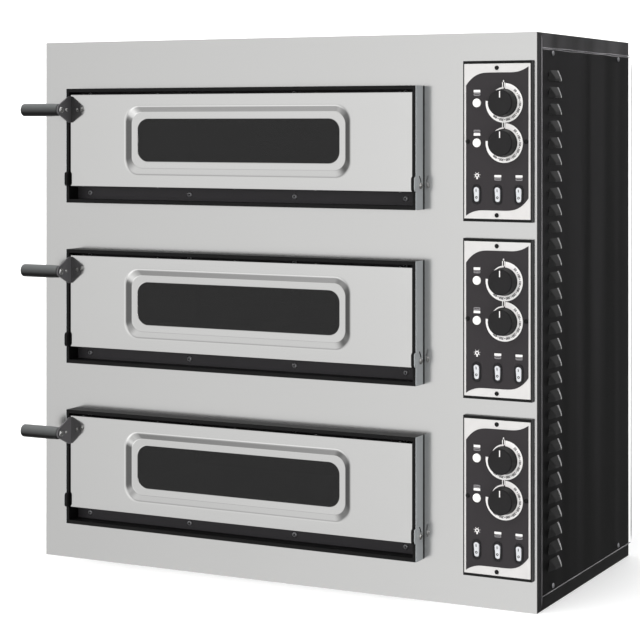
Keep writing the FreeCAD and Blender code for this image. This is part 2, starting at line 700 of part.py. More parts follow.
def handle_plate(deck):
    """A three-cornered bracket that stands on the door's left end and carries the grip."""
    name = f"handle_plate_{deck}"
    base = sill(deck)
    low, high = base + d.plate_foot_low, base + d.plate_foot_high
    front, shoulder = FACE - d.door_front, FACE - d.plate_shoulder
    vertex = (FACE - d.plate_vertex, base + d.handle_rise)
    outline = [(front, low), (shoulder, low), vertex, (shoulder, high), (front, high)]
    holes = [(FACE - d.handle_front, base + d.handle_rise, d.bolt_radius),
             (FACE - d.stud_front, base + d.handle_rise, d.bolt_radius - 1)]
    node(name, plate(name, "YZ", (d.plate_left, d.plate_left + d.plate_thickness), outline,
                     holes=holes, rounds=[(9, [vertex])]))


def handle_grip(deck):
    """A round grip along X, bored for the bolt that holds it to its bracket."""
    name = f"handle_grip_{deck}"
    bottom = d.plate_left - 26
    end, rim = d.grip_end, 2
    profile = [(Size(0), end), (d.grip_radius - rim, end), (d.grip_radius, end + rim),
               (d.grip_radius, d.plate_left), (d.bolt_radius, d.plate_left),
               (d.bolt_radius, bottom), (Size(0), bottom)]
    node(name, turned(name, "X", (FACE - d.handle_front, sill(deck) + d.handle_rise), profile))


def door_fasteners(deck):
    """The hinge pins, the skin's rivets, and the bolt and stud in the handle's bracket."""
    name = f"door_fasteners_{deck}"
    grip = value(d.fascia_sheet + d.sheet) + 0.3
    pieces = []
    for rivet in rivets(deck):
        pieces.append(fuse(f"{name}_rivet", [
            rivet_part(f"{name}_head", rivet, 0, value(d.rivet_head), d.rivet_radius + 1),
            rivet_part(f"{name}_shank", rivet, -grip, 0, d.rivet_radius),
            rivet_part(f"{name}_tail", rivet, -grip - 1, -grip, d.rivet_radius + 0.7)]))
    x = door_spans(deck)[0]
    cheek = about(d.surround_x, d.surround_width)
    pivot = (FACE - d.pivot_front, sill(deck) + d.pivot_rise)
    head, nut = d.pin_radius + 1.5, d.pin_radius + 1
    for end, sign, outer in ((x[0], 1, cheek[0]), (x[1], -1, cheek[1])):
        seat = end + d.fascia_sheet * sign
        clear = outer - 0.4 * sign
        profile = [(Size(0), clear - 2 * sign), (head, clear - 2 * sign), (head, clear),
                   (d.pin_radius, clear), (d.pin_radius, seat), (nut, seat),
                   (nut, seat + 4 * sign), (Size(0), seat + 4 * sign)]
        pieces.append(turned(f"{name}_pin", "X", pivot, profile))
    inside = d.plate_left + d.plate_thickness
    for place, shank, tip, cap in ((d.handle_front, d.bolt_radius, d.plate_left - 26, 5.5),
                                   (d.stud_front, d.bolt_radius - 1, d.plate_left, 3.2)):
        centre = (FACE - place, sill(deck) + d.handle_rise)
        profile = [(Size(0), inside + 2.5), (Size(cap - 1), inside + 2.5), (Size(cap), inside + 1.5),
                   (Size(cap), inside), (shank, inside), (shank, tip), (Size(0), tip)]
        pieces.append(turned(f"{name}_bolt", "X", centre, profile))
    node(name, group(name, pieces))


# ---------------------------------------------------------------- controls

def control_openings(deck):
    """What passes through the control panel's face: spindles, pilots, switches and screws."""
    y = (FACE - 12, FACE + 1)
    name = f"opening_{deck}"
    tools = [rod(name, "Y", (d.knob_x, sill(deck) + rise), y, d.bush_radius) for rise in knob_rises()]
    tools += [rod(name, "Y", (d.pilot_x, sill(deck) + rise), y, d.pilot_body) for rise in knob_rises()]
    tools += [rod(name, "Y", place, y, d.screw_radius - 0.5) for place in faceplate_screw_places(deck)]
    tools += [box(name, about(x, d.switch_width), y,
                  about(sill(deck) + d.rocker_rise, d.switch_height)) for x in rocker_places()]
    return fuse(f"openings_{deck}", tools)


def control_panels():
    """Raised black boxes on the fascia, each with a thin printed plate on its face."""
    boxes, plates = [], []
    for deck in DECKS:
        openings = control_openings(deck)
        x, z = about(d.panel_x, d.panel_width), rising(deck, d.panel_rise, d.panel_height)
        front = FACE - d.panel_depth
        pan = folded_pan(f"panel_pan_{deck}", x, (front, FACE), z)
        boxes.append(cut(f"panel_box_{deck}", pan, [openings]))
        inset = d.plate_margin
        sheet = box(f"plate_sheet_{deck}", (x[0] + inset, x[1] - inset), (front - d.faceplate, front),
                    (z[0] + d.plate_margin_z, z[1] - d.plate_margin_z))
        plates.append(cut(f"plate_{deck}", sheet, [openings]))
    node("control_boxes", group("control_boxes", boxes))
    node("faceplates", group("faceplates", plates))


PANEL_FRONT = FACE - d.panel_depth - d.faceplate


def pilot_lamps():
    """Two domed signal lamps on each panel."""
    lamps = []
    for deck in DECKS:
        for rise in knob_rises():
            rim = PANEL_FRONT - 1.2
            profile = [(Size(0), rim - 1.3), (d.pilot_radius - 2, rim - 1), (d.pilot_radius, rim),
                       (d.pilot_radius, PANEL_FRONT), (d.pilot_body, PANEL_FRONT),
                       (d.pilot_body, FACE + 16), (Size(0), FACE + 16)]
            lamps.append(turned("pilot", "Y", (d.pilot_x, sill(deck) + rise), profile))
    node("pilot_lamps", group("pilot_lamps", lamps))


def thermostats():
    """A thermostat behind each knob, with its bush and a fixed bearing spindle."""
    units = []
    wall = FACE - d.panel_depth + d.sheet
    for deck in DECKS:
        for rise in knob_rises():
            z = sill(deck) + rise
            case = box("thermostat_case", about(d.knob_x, d.thermostat_width),
                       (wall, wall + d.thermostat_depth), about(z, d.thermostat_height))
            bush = rod("thermostat_bush", "Y", (d.knob_x, z), (PANEL_FRONT, wall), d.bush_radius)
            spindle = rod("thermostat_spindle", "Y", (d.knob_x, z),
                          (FACE - d.spindle_front, PANEL_FRONT), d.spindle_radius)
            units.append(fuse("thermostat", [case, bush, spindle]))
    node("thermostats", group("thermostats", units))


def knobs():
    """Six turned knobs: a skirt, a drum, and a pointer groove across the top of the face."""
    back = PANEL_FRONT - d.knob_gap
    front = FACE - d.knob_front
    bore, bottom = d.spindle_radius + d.running_gap, FACE - d.spindle_front - 0.4
    waist = back - d.skirt_depth
    profile = [(Size(0), front), (d.knob_radius - 1.5, front), (d.knob_radius, front + 1.5),
               (d.knob_radius, waist), (d.skirt_radius, waist + 2), (d.skirt_radius, back),
               (bore, back), (bore, bottom), (Size(0), bottom)]
    for deck in DECKS:
        for number, rise in enumerate(knob_rises(), start=1):
            z = sill(deck) + rise
            drum = turned("knob_drum", "Y", (d.knob_x, z), profile)
            groove = box("knob_groove", about(d.knob_x, Size(1.6)), (front - 1, front + 0.8),
                         (z + d.knob_radius * 0.35, z + d.knob_radius + 1))
            label = f"knob_{deck}_{number}"
            node(label, cut(label, drum, [groove]))


def switch_bodies():
    """Nine rocker switches: a rounded bezel on the plate and a case behind it."""
    units = []
    width = d.bezel_width
    for deck in DECKS:
        z = sill(deck) + d.rocker_rise
        for x in rocker_places():
            bezel_x, bezel_z = about(x, width), about(z, d.bezel_height)
            bezel = plate("bezel", "XZ", (PANEL_FRONT - d.bezel_depth, PANEL_FRONT),
                          rectangle(bezel_x, bezel_z),
                          rounds=[(width / 2 - 0.1, rectangle(bezel_x, bezel_z))])
            case = box("switch_case", about(x, d.switch_width), (PANEL_FRONT, FACE + 18),
                       about(z, d.switch_height))
            well = box("switch_well", about(x, d.rocker_width + 0.6),
                       (PANEL_FRONT - d.bezel_depth - 1, FACE + 2), about(z, d.rocker_height + 2.4))
            bearing = rod("switch_bearing", "X", (FACE - d.rocker_pivot, z), about(x, Size(12.2)), 1.25)
            units.append(cut("switch", fuse("switch_shell", [bezel, case]), [well, bearing]))
    node("switch_bodies", group("switch_bodies", units))


def rockers():
    """Nine rockers, each pivoted in its switch and resting tilted, with its foot pressed in."""
    half, front, crown = d.rocker_height / 2, -6.2, -5.2
    outline = [(Size(front), half), (Size(crown), Size(0)), (Size(front), -half),
               (Size(-4), -half), (Size(2.6), Size(-8)), (Size(2.6), Size(8)), (Size(-4), half)]
    for deck in DECKS:
        for number, x in enumerate(rocker_places(), start=1):
            label = f"rocker_{deck}_{number}"
            cap = plate("rocker_cap", "YZ", about(Size(0), d.rocker_width), outline)
            pivot = rod("rocker_pivot", "X", (0, 0), about(Size(0), Size(11.8)), 1.2)
            rocker = fuse(label, [cap, pivot])
            rocker.Placement = FreeCAD.Placement(FreeCAD.Vector(),
                                                 FreeCAD.Rotation(FreeCAD.Vector(1, 0, 0), 1))
            rocker.setExpression("Placement.Rotation.Angle", str(d.rocker_tilt))
            place = (x, FACE - d.rocker_pivot, sill(deck) + d.rocker_rise)
            for letter, size in zip("xyz", place):
                rocker.setExpression(f"Placement.Base.{letter}", str(size))
            node(label, rocker)


def casing_screws():
    """The screws in the side panels, the door surrounds and the faceplates."""
    pieces = []
    for place in side_screw_places():
        pieces.append(screw("side_screw", "X", place, SIDE, 1, 8))
        pieces.append(screw("side_screw", "X", place, -SIDE, -1, 8))
    for deck in DECKS:
        for place in surround_screw_places(deck):
            pieces.append(screw("surround_screw", "Y", place, FACE - d.back_flange, -1,
                                d.back_flange + d.fascia_sheet))
        for place in faceplate_screw_places(deck):
            head = rod("plate_screw_head", "Y", place, (PANEL_FRONT - 1, PANEL_FRONT), 3)
            shank = rod("plate_screw_shank", "Y", place, (PANEL_FRONT, FACE), d.screw_radius - 0.5)
            pieces.append(fuse("plate_screw", [head, shank]))
    node("casing_screws", group("casing_screws", pieces))


# ---------------------------------------------------------------- the whole oven

def build():
    front_panel()
    front_frame()
    side_panel("left", -1)
    side_panel("right", 1)
    covers()
    inner_walls()
    electrics()
    for deck in DECKS:
        chamber_liner(deck)
        door_surround(deck)
        door_skin(deck)
        door_liner(deck)
        door_glass(deck)
        handle_plate(deck)
        handle_grip(deck)
        door_fasteners(deck)
    elements()
    baking_stones()
    oven_lamps()
    insulation()
    control_panels()
    pilot_lamps()
    thermostats()
    knobs()
    switch_bodies()
    rockers()
    casing_screws()
    doc.recompute()


def check():
    """Stop if any object failed, or a sub-part's shape is missing or broken."""
    for item in doc.Objects:
        if {"Invalid", "Error"} & set(item.State):
            raise RuntimeError(f"{item.Name} failed to build")
    for piece in nodes:
        if piece.Shape.isNull() or not piece.Shape.isValid():
            raise RuntimeError(f"{piece.Label} has a broken shape")
        if not piece.Shape.Solids:
            raise RuntimeError(f"{piece.Label} has no solid")


def export():
    os.makedirs("parts", exist_ok=True)
    for piece in nodes:
        piece.Shape.exportStep(f"parts/{piece.Label}.step")
        print(f"{piece.Label:24} {len(piece.Shape.Solids):3} solids {piece.Shape.Volume:12.0f} mm3")
    print(len(nodes), "sub-parts")


build()
check()
export()
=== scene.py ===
"""Three-deck electric deck oven: the visible pieces, their finishes and a plain studio.

Metres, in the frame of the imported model: +Z is up, the doors face -Y, the controls are on the
+X side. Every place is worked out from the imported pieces' own boxes.
"""
import json
import math

import bpy
from mathutils import Matrix, Vector


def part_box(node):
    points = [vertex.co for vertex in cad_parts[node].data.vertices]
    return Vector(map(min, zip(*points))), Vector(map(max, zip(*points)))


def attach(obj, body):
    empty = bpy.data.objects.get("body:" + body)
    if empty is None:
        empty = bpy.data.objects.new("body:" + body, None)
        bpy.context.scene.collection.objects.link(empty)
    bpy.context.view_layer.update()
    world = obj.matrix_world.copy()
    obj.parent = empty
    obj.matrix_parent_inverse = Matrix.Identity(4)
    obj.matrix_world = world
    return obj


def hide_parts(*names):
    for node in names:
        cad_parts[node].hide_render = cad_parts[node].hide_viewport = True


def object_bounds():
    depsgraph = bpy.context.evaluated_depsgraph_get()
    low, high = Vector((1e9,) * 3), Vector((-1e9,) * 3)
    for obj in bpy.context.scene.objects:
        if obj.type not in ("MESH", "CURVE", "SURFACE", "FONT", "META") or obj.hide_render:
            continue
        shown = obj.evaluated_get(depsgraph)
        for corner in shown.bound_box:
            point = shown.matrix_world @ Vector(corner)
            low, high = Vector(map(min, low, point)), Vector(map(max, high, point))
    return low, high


bl_info = {
    "name": "Deck Oven",
    "version": (1, 0, 0),
    "blender": (4, 5, 0),
    "location": "3D View > Sidebar > Deck Oven",
    "description": "Models and finishes a three-deck electric oven",
    "category": "Object",
}

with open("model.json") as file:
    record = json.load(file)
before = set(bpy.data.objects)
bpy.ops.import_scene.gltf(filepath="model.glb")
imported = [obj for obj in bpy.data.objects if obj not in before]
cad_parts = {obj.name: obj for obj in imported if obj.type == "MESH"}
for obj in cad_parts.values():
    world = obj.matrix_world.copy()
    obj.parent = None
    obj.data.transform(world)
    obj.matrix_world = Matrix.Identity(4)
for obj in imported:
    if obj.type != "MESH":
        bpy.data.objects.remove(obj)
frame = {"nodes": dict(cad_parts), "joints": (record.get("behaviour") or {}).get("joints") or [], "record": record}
CAD_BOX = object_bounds()
MM = 0.001
NEAR = 0.01 * MM
DECKS = ("upper", "middle", "lower")
NODES = frame["nodes"]


# ---------------------------------------------------------------- places from the frame

def islands(node):
    """The (low, high) boxes of a node's separate solids, found by joining triangles that meet."""
    mesh = NODES[node].data
    groups = {}
    owner = {}

    def find(key):
        while owner[key] != key:
            owner[key] = owner[owner[key]]
            key = owner[key]
        return key

    keys = [tuple(round(c, 6) for c in vertex.co) for vertex in mesh.vertices]
    for key in keys:
        owner.setdefault(key, key)
    for face in mesh.polygons:
        first, *others = [find(keys[index]) for index in face.vertices]
        for other in others:
            owner[find(other)] = find(first)
    for key in owner:
        groups.setdefault(find(key), []).append(key)
    boxes = [(Vector(map(min, zip(*group))), Vector(map(max, zip(*group))))
             for group in groups.values()]
    return sorted(boxes, key=lambda box: (-round(box[0].z, 4), round(box[0].x, 4)))


def middle(box):
    """The centre of a (low, high) box."""
    return (box[0] + box[1]) / 2


# ---------------------------------------------------------------- modelling by operators

def clear_selection():
    if bpy.context.object and bpy.context.object.mode != "OBJECT":
        bpy.ops.object.mode_set(mode="OBJECT")
    bpy.ops.object.select_all(action="DESELECT")


def pick(*pieces):
    """Select these pieces alone; the first is the active one."""
    clear_selection()
    for piece in pieces:
        piece.select_set(True)
    bpy.context.view_layer.objects.active = pieces[0]
    return pieces[0]


def settle(name):
    """Name the object just made, and put its place in its mesh."""
    piece = bpy.context.object
    piece.name = name
    piece.data.name = name
    bpy.ops.object.transform_apply(location=True, rotation=True, scale=True)
    return piece


def modify(piece, kind, **settings):
    """Add a modifier and apply it."""
    pick(piece)
    bpy.ops.object.modifier_add(type=kind)
    modifier = piece.modifiers[-1]
    for name, setting in settings.items():
        setattr(modifier, name, setting)
    bpy.ops.object.modifier_apply(modifier=modifier.name)
    return piece


def soften(piece, width, segments=3, angle=40):
    """Round the sharp edges off, and shade so that the flats stay flat."""
    if width:
        modify(piece, "BEVEL", width=width, segments=segments, limit_method="ANGLE",
               angle_limit=math.radians(angle), use_clamp_overlap=True)
    pick(piece)
    bpy.ops.object.shade_smooth_by_angle(angle=math.radians(50))
    return modify(piece, "WEIGHTED_NORMAL", keep_sharp=True)


def choose(piece, kind, test):
    """Select the vertices, edges or faces that pass a test, and leave the piece in edit mode."""
    pick(piece)
    bpy.ops.object.mode_set(mode="EDIT")
    bpy.ops.mesh.select_mode(type=kind)
    bpy.ops.mesh.select_all(action="DESELECT")
    bpy.ops.object.mode_set(mode="OBJECT")
    mesh = piece.data
    items = {"VERT": mesh.vertices, "EDGE": mesh.edges, "FACE": mesh.polygons}[kind]
    for item in items:
        item.select = test(item)
    bpy.ops.object.mode_set(mode="EDIT")


def object_mode():
    bpy.ops.object.mode_set(mode="OBJECT")


def edit_all(piece):
    """Open a piece in edit mode, all of it selected."""
    pick(piece)
    bpy.ops.object.mode_set(mode="EDIT")
    bpy.ops.mesh.select_all(action="SELECT")


def run_back(mesh, edge):
    """How far an edge of a mesh runs along Y."""
    near, far = (mesh.vertices[index].co.y for index in edge.vertices)
    return abs(near - far)


def face_outwards():
    """Select all of the piece being edited, and turn its faces outwards."""
    bpy.ops.mesh.select_all(action="SELECT")
    bpy.ops.mesh.normals_make_consistent(inside=False)


def block(name, low, high):
    """A box between two corners."""
    low, high = Vector(low), Vector(high)
    clear_selection()
    bpy.ops.mesh.primitive_cube_add(size=1, location=(low + high) / 2, scale=high - low)
    return settle(name)


def join(name, pieces):
    pick(*pieces)
    if len(pieces) > 1:
        bpy.ops.object.join()
    pieces[0].name = name
    pieces[0].data.name = name
    return pieces[0]


def stamp(piece, name, move):
    """A copy of a piece, with a mesh of its own, moved by a vector or placed by a matrix."""
    copy = piece.copy()
    copy.data = piece.data.copy()
    copy.data.transform(move if isinstance(move, Matrix) else Matrix.Translation(move))
    copy.name = name
    copy.data.name = name
    bpy.context.collection.objects.link(copy)
    return copy


def discard(*pieces):
    for piece in pieces:
        bpy.data.objects.remove(piece)


TURNS = {"+X": (0, 90), "-X": (0, -90), "+Y": (-90, 0), "-Y": (90, 0), "+Z": (0, 0), "-Z": (180, 0)}


def facing(direction, place):
    """The matrix that stands a piece made along +Z on a place, pointing a given way."""
    about_x, about_y = (math.radians(angle) for angle in TURNS[direction])
    turn = Matrix.Rotation(about_y, 4, "Y") @ Matrix.Rotation(about_x, 4, "X")
    return Matrix.Translation(place) @ turn


def lathe(name, profile, sides=48):
    """A round piece about +Z: a ring is extruded and resized along (radius, height) steps."""
    clear_selection()
    radius, height = profile[0]
    bpy.ops.mesh.primitive_circle_add(vertices=sides, radius=radius, fill_type="NGON",
                                      location=(0, 0, height))
    bpy.ops.object.transform_apply(location=True)
    bpy.ops.object.mode_set(mode="EDIT")
    bpy.ops.mesh.select_mode(type="FACE")
    bpy.ops.mesh.select_all(action="SELECT")
    for next_radius, next_height in profile[1:]:
        lift = {"value": (0, 0, next_height - height)}
        bpy.ops.mesh.extrude_region_move(TRANSFORM_OT_translate=lift)
        scale = next_radius / radius
        bpy.ops.transform.resize(value=(scale, scale, 1), center_override=(0, 0, next_height))
        radius, height = next_radius, next_height
    bpy.ops.mesh.select_all(action="SELECT")
    bpy.ops.mesh.remove_doubles(threshold=1e-7)
    face_outwards()
    object_mode()
    return settle(name)


def sheet_grid(name, columns, rows, place):
    """A grid whose points are put where place(u, v) says, u and v running from 0 to 1."""
    clear_selection()
    bpy.ops.mesh.primitive_grid_add(x_subdivisions=columns, y_subdivisions=rows, size=1)
    piece = settle(name)
    for vertex in piece.data.vertices:
        vertex.co = place(vertex.co.x + 0.5, vertex.co.y + 0.5)
    return piece


def thicken(piece, thickness):
    """Give a face-on sheet its thickness, away from the side that it faces."""
    return modify(piece, "SOLIDIFY", thickness=thickness, offset=-1)


def cleaned_copy(node, name):
    """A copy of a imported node's mesh, merged into closed faces."""
    piece = bpy.data.objects.new(name, NODES[node].data.copy())
    bpy.context.collection.objects.link(piece)
    piece.data.materials.clear()
    edit_all(piece)
    bpy.ops.mesh.remove_doubles(threshold=5e-6)
    bpy.ops.mesh.dissolve_limited(angle_limit=math.radians(1))
    object_mode()
    return piece


def dress(piece, material):
    """Give a piece its material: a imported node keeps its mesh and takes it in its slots."""
    if piece.name in NODES:
        for entry in piece.material_slots:
            entry.material = material
    else:
        piece.data.materials.clear()
        piece.data.materials.append(material)
    return piece


FINISHES = {}


def finish_piece(piece, finish, body, slot, *nodes):
    """Give a piece its finish and make it ride on a body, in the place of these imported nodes."""
    dress(piece, FINISHES[finish])
    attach(piece, body)
    if nodes:
        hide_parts(*nodes)
    return piece


def body_of_node(node):
    return next(body for body, members in frame["record"]["behaviour"]["bodies"].items()
                if node in members)


def refine(node, width, finish, slot=None):
    """Replace a node by a copy of it with rounded edges and a finish."""
    piece = soften(cleaned_copy(node, f"{node}_sheet"), width)
    return finish_piece(piece, finish, body_of_node(node), slot or finish, node)


# ---------------------------------------------------------------- finishes

class Wire:
    """A shader socket that takes part in arithmetic: each operation adds its Math node."""

    def __init__(self, finish, socket):
        self.finish = finish
        self.socket = socket

    def maths(self, operation, *values):
        node = self.finish.node("ShaderNodeMath", {"operation": operation},
                                dict(enumerate(values)))
        return Wire(self.finish, node.outputs[0])

    def __add__(self, other):
        return self.maths("ADD", self, other)

    def __sub__(self, other):
        return self.maths("SUBTRACT", self, other)

    def __rsub__(self, other):
        return self.maths("SUBTRACT", other, self)

    def __mul__(self, other):
        return self.maths("MULTIPLY", self, other)

    def __gt__(self, other):
        return self.maths("GREATER_THAN", self, other)

    def __truediv__(self, other):
        return self.maths("DIVIDE", self, other)

    __radd__ = __add__
    __rmul__ = __mul__


class Studio:
    """A node tree, and the ways of adding to it."""

    def __init__(self, tree):
        self.tree = tree

    def node(self, kind, settings=None, sockets=None):
        """Add a node, set it up, then give its sockets their values or links."""
        node = self.tree.nodes.new(kind)
        for name, setting in (settings or {}).items():
            setattr(node, name, setting)
        for name, value in (sockets or {}).items():
            self.connect(node.inputs[name], value)
        return node

    def connect(self, socket, value):
        if isinstance(value, Wire):
            value = value.socket
        if isinstance(value, bpy.types.NodeSocket):
            self.tree.links.new(value, socket)
        elif socket.type == "RGBA":
            socket.default_value = (*value[:3], 1)
        else:
            socket.default_value = value

    def ramp(self, value, stops):
        """A grey level read from (position, level) stops, eased between them."""
        node = self.node("ShaderNodeValToRGB")
        node.color_ramp.interpolation = "EASE"
        elements = node.color_ramp.elements
        while len(elements) < len(stops):
            elements.new(0.5)
        for element, (position, level) in zip(elements, stops):
            element.position = position
            element.color = (level, level, level, 1)
        self.connect(node.inputs[0], value)
        return Wire(self, node.outputs[0])


class Finish(Studio):
    """A procedural material: a Principled shader and the patterns that feed it."""

    def __init__(self, name, **constants):
        self.material = bpy.data.materials.new(name)
        self.material.use_nodes = True
        super().__init__(self.material.node_tree)
        self.tree.nodes.clear()
        self.shader = self.node("ShaderNodeBsdfPrincipled")
        output = self.node("ShaderNodeOutputMaterial")
        self.tree.links.new(self.shader.outputs[0], output.inputs[0])
        self.place = self.node("ShaderNodeTexCoord").outputs["Object"]
        self.feed(**constants)

    def feed(self, **sockets):
        """Set the shader's sockets; base_color names Base Color, and so on."""
        names = {socket.name.lower().replace(" ", "_"): socket for socket in self.shader.inputs}
        for name, value in sockets.items():
            self.connect(names[name], value)

    def noise(self, stretch, detail=2, roughness=0.5):
        """Noise from 0 to 1; stretch is the number of grains in a metre along X, Y and Z."""
        mapping = self.node("ShaderNodeMapping", None, {"Vector": self.place, "Scale": stretch})
        texture = self.node("ShaderNodeTexNoise", None, {
            "Vector": mapping.outputs[0], "Scale": 1.0, "Detail": detail, "Roughness": roughness})
        return Wire(self, texture.outputs[0])

    def orange_peel(self):
        """The fine even bumps of a sprayed and baked coat."""
        self.bump(self.noise((900, 900, 900)), 0.06 * MM)

    def axis(self, letter, place=None):
        """The place along X, Y or Z, in metres; or that part of another vector."""
        split = self.node("ShaderNodeSeparateXYZ", None, {0: place or self.place})
        return Wire(self, split.outputs[letter])

    def blend(self, factor, low, high):
        """One of two colours, or a mix of them by a factor."""
        node = self.node("ShaderNodeMix", {"data_type": "RGBA"}, {0: factor, 6: low, 7: high})
        return node.outputs[2]

    def bump(self, height, distance, strength=1.0):
        node = self.node("ShaderNodeBump", None, {
            "Height": height, "Distance": distance, "Strength": strength})
        self.connect(self.shader.inputs["Normal"], node.outputs[0])


def grey(level, tint=(1, 1, 1)):
    return tuple(level * part for part in tint)


def stainless(name, level, roughness):
    """Brushed stainless sheet: fine level grain, faint smears and a slightly wavy surface."""
    finish = Finish(name, metallic=1.0)
    grain = finish.noise((5, 5, 1600))
    smear = finish.noise((4, 4, 6))
    ripple = finish.noise((2.2, 2.2, 3.0), detail=0)
    tone = (grain - 0.5) * 0.35 + (smear - 0.5) * 0.3 + 0.5
    finish.feed(base_color=finish.blend(tone, grey(level * 0.95, (1, 0.997, 0.985)),
                                        grey(level * 1.04, (1, 0.998, 0.99))),
                roughness=(grain - 0.5) * 0.08 + (smear - 0.5) * 0.05 + roughness)
    finish.bump(grain * 0.004 + ripple, 1.2 * MM)
    return finish.material


def paint(name, level, roughness, specular=0.35, coat=0.0):
    """Powder coat: a dark colour over fine orange peel, dusty and faintly streaked by wiping."""
    tint = (1, 0.97, 1.02)
    finish = Finish(name, specular_ior_level=specular, coat_weight=coat, coat_roughness=0.12)
    dust = finish.noise((7, 7, 7), detail=4, roughness=0.6)
    streak = finish.noise((13, 13, 0.8))
    tone = (dust - 0.5) * 0.8 + (streak - 0.5) * 2.4 + 0.5
    finish.feed(base_color=finish.blend(tone, grey(level * 0.45, tint), grey(level * 1.55, tint)),
                roughness=(dust - 0.5) * 0.12 + roughness)
    finish.orange_peel()
    return finish.material


def box_paint(name, level, side_x, sheen_level):
    """Black paint on a control box, with a painted sheen, greyer, on its outer side."""
    finish = Finish(name, specular_ior_level=0.15)
    side = finish.axis("X") > side_x
    height = finish.noise((2, 2, 9), detail=1)
    # painted sheen: the outer side is painted greyer, mottled from top to bottom
    sheen = finish.blend(height, grey(sheen_level * 0.7), grey(sheen_level * 1.4))
    finish.feed(base_color=finish.blend(side, grey(level), sheen), roughness=side * 0.1 + 0.35)
    finish.orange_peel()
    return finish.material


def louvre_paint(name, level, front):
    """Paint on the louvres, with painted light: painted shade on the slanted end, and a painted highlight along
    the rear edge.
    """
    finish = Finish(name, specular_ior_level=0.3, coat_weight=0.4, coat_roughness=0.15)
    y = finish.axis("Y")
    dust = finish.noise((40, 40, 40), detail=3)
    # a painted highlight, 7.2 mm wide, along each louvre's rear edge
    rim_highlight = y > front + LOUVRE_LENGTH - 7.2 * MM
    # painted shade: the slanted front end is painted darker than the face
    slanted = (front + LOUVRE_FACET * 0.9) - y > 0
    face = finish.blend(slanted, grey(level), grey(level * 0.7))
    finish.feed(base_color=finish.blend(rim_highlight, face, grey(level * 14)),
                roughness=(dust - 0.5) * 0.15 + 0.34)
    return finish.material


def surround_paint(name, cheek_x, flange_y, level):
    """Black paint, lighter on the flange, whose two outer cheeks are bare brushed steel."""
    finish = Finish(name, specular_ior_level=0.12)
    grain = finish.noise((6, 500, 8), detail=3)
    x = finish.axis("X")
    skin = 0.6 * MM
    right = x > cheek_x[1] - skin
    left = (cheek_x[0] + skin) - x > 0
    away = (flange_y - 2 * skin) - finish.axis("Y") > 0
    bare = (right + left) * away
    steel = finish.blend(grain, (0.47, 0.495, 0.51), (0.60, 0.625, 0.64))
    # the flange is painted lighter than the rest of the black
    flange = (finish.axis("Y") > flange_y) * (1 - (right + left))
    black = finish.blend(flange, grey(level * 0.6, (1, 0.98, 1.0)), grey(level * 4.6, (1, 0.95, 1.02)))
    finish.feed(base_color=finish.blend(bare, black, steel),
                metallic=bare * 0.4, roughness=0.42 - bare * 0.06)
    finish.orange_peel()
    return finish.material


def metal(name, colour, roughness, grain_scale=(300, 300, 300), spread=0.12):
    """Plated, aluminised or oxidised steel, with a mottled grain."""
    finish = Finish(name, metallic=1.0)
    grain = finish.noise(grain_scale, detail=3)
    stain = finish.noise((14, 14, 14), detail=4)
    tone = (grain + stain) * 0.5
    finish.feed(base_color=finish.blend(tone, [c * (1 - spread) for c in colour],
                                        [c * (1 + spread) for c in colour]),
                roughness=(stain - 0.5) * 0.2 + roughness)
    finish.bump(grain, 0.03 * MM)
    return finish.material


def plastic(name, colour, roughness, texture=1500, depth=0.02, specular=0.4):
    """Moulded plastic with a fine spark-eroded texture, its depth in millimetres."""
    finish = Finish(name, specular_ior_level=specular)
    grain = finish.noise((texture,) * 3)
    handled = finish.noise((60, 60, 60))
    finish.feed(base_color=finish.blend(handled, [c * 0.94 for c in colour],
                                        [min(1, c * 1.04) for c in colour]),
                roughness=(handled - 0.5) * 0.1 + roughness)
    finish.bump(grain, depth * MM)
    return finish.material


def top_lit_plastic(name, low, high):
    """Moulded plastic, with painted light from above: lighter where it faces up."""
    finish = Finish(name, specular_ior_level=0.35)
    grain = finish.noise((1500, 1500, 1500))
    up = finish.axis("Z", finish.node("ShaderNodeTexCoord").outputs["Normal"])
    # painted light from above: the colour grows lighter as the surface turns to face up
    finish.feed(base_color=finish.blend(up * 0.8 + 0.3, low, high), roughness=(grain - 0.5) * 0.1 + 0.36)
    finish.bump(grain, 0.02 * MM)
    return finish.material


def side_paint(name, level, low_z, high_z):
    """Black paint on the louvred side: soft upright streaks of painted sheen, lighter towards the top."""
    tint = (1, 0.95, 1.02)
    finish = Finish(name, specular_ior_level=0.12, coat_weight=0.15, coat_roughness=0.12)
    # painted sheen: soft upright streaks in the colour
    streak = finish.noise((1, 17, 0.5), detail=1)
    height = (finish.axis("Z") - low_z) / (high_z - low_z)
    tone = (streak - 0.5) * 3.4 + height * 0.5 + 0.15
    finish.feed(base_color=finish.blend(tone, grey(level * 0.1, tint), grey(level * 2.4, tint)),
                roughness=0.40)
    finish.orange_peel()
    return finish.material


def mineral(name, low, high, scale, roughness, depth):
    """Stone, wool or ceramic: two colours mottled over a surface rough to a depth in millimetres."""
    finish = Finish(name, specular_ior_level=0.25)
    fine = finish.noise((scale,) * 3, detail=5, roughness=0.65)
    broad = finish.noise((scale / 30,) * 3, detail=3)
    finish.feed(base_color=finish.blend((fine + broad) * 0.5, low, high),
                roughness=(fine - 0.5) * 0.2 + roughness)
    finish.bump(fine, depth * MM)
    return finish.material


def dark_glass(name, level, alpha):
    """Tempered door glass, tinted, with faint wiping marks."""
    finish = Finish(name, specular_ior_level=0.28, alpha=alpha)
    wipe = finish.noise((30, 30, 8), detail=3)
    finish.feed(base_color=finish.blend(wipe, grey(level * 0.85), grey(level * 1.15, (1, 1, 0.99))),
                roughness=wipe * 0.06 + 0.04)
    return finish.material


LOUVRE_FRONT, LOUVRE_FACET, LOUVRE_LENGTH = 26.2 * MM, 20 * MM, 50 * MM

# the heights, in metres, between which the louvred side's paint grows lighter
SIDE_FADE = 0.02, 0.87

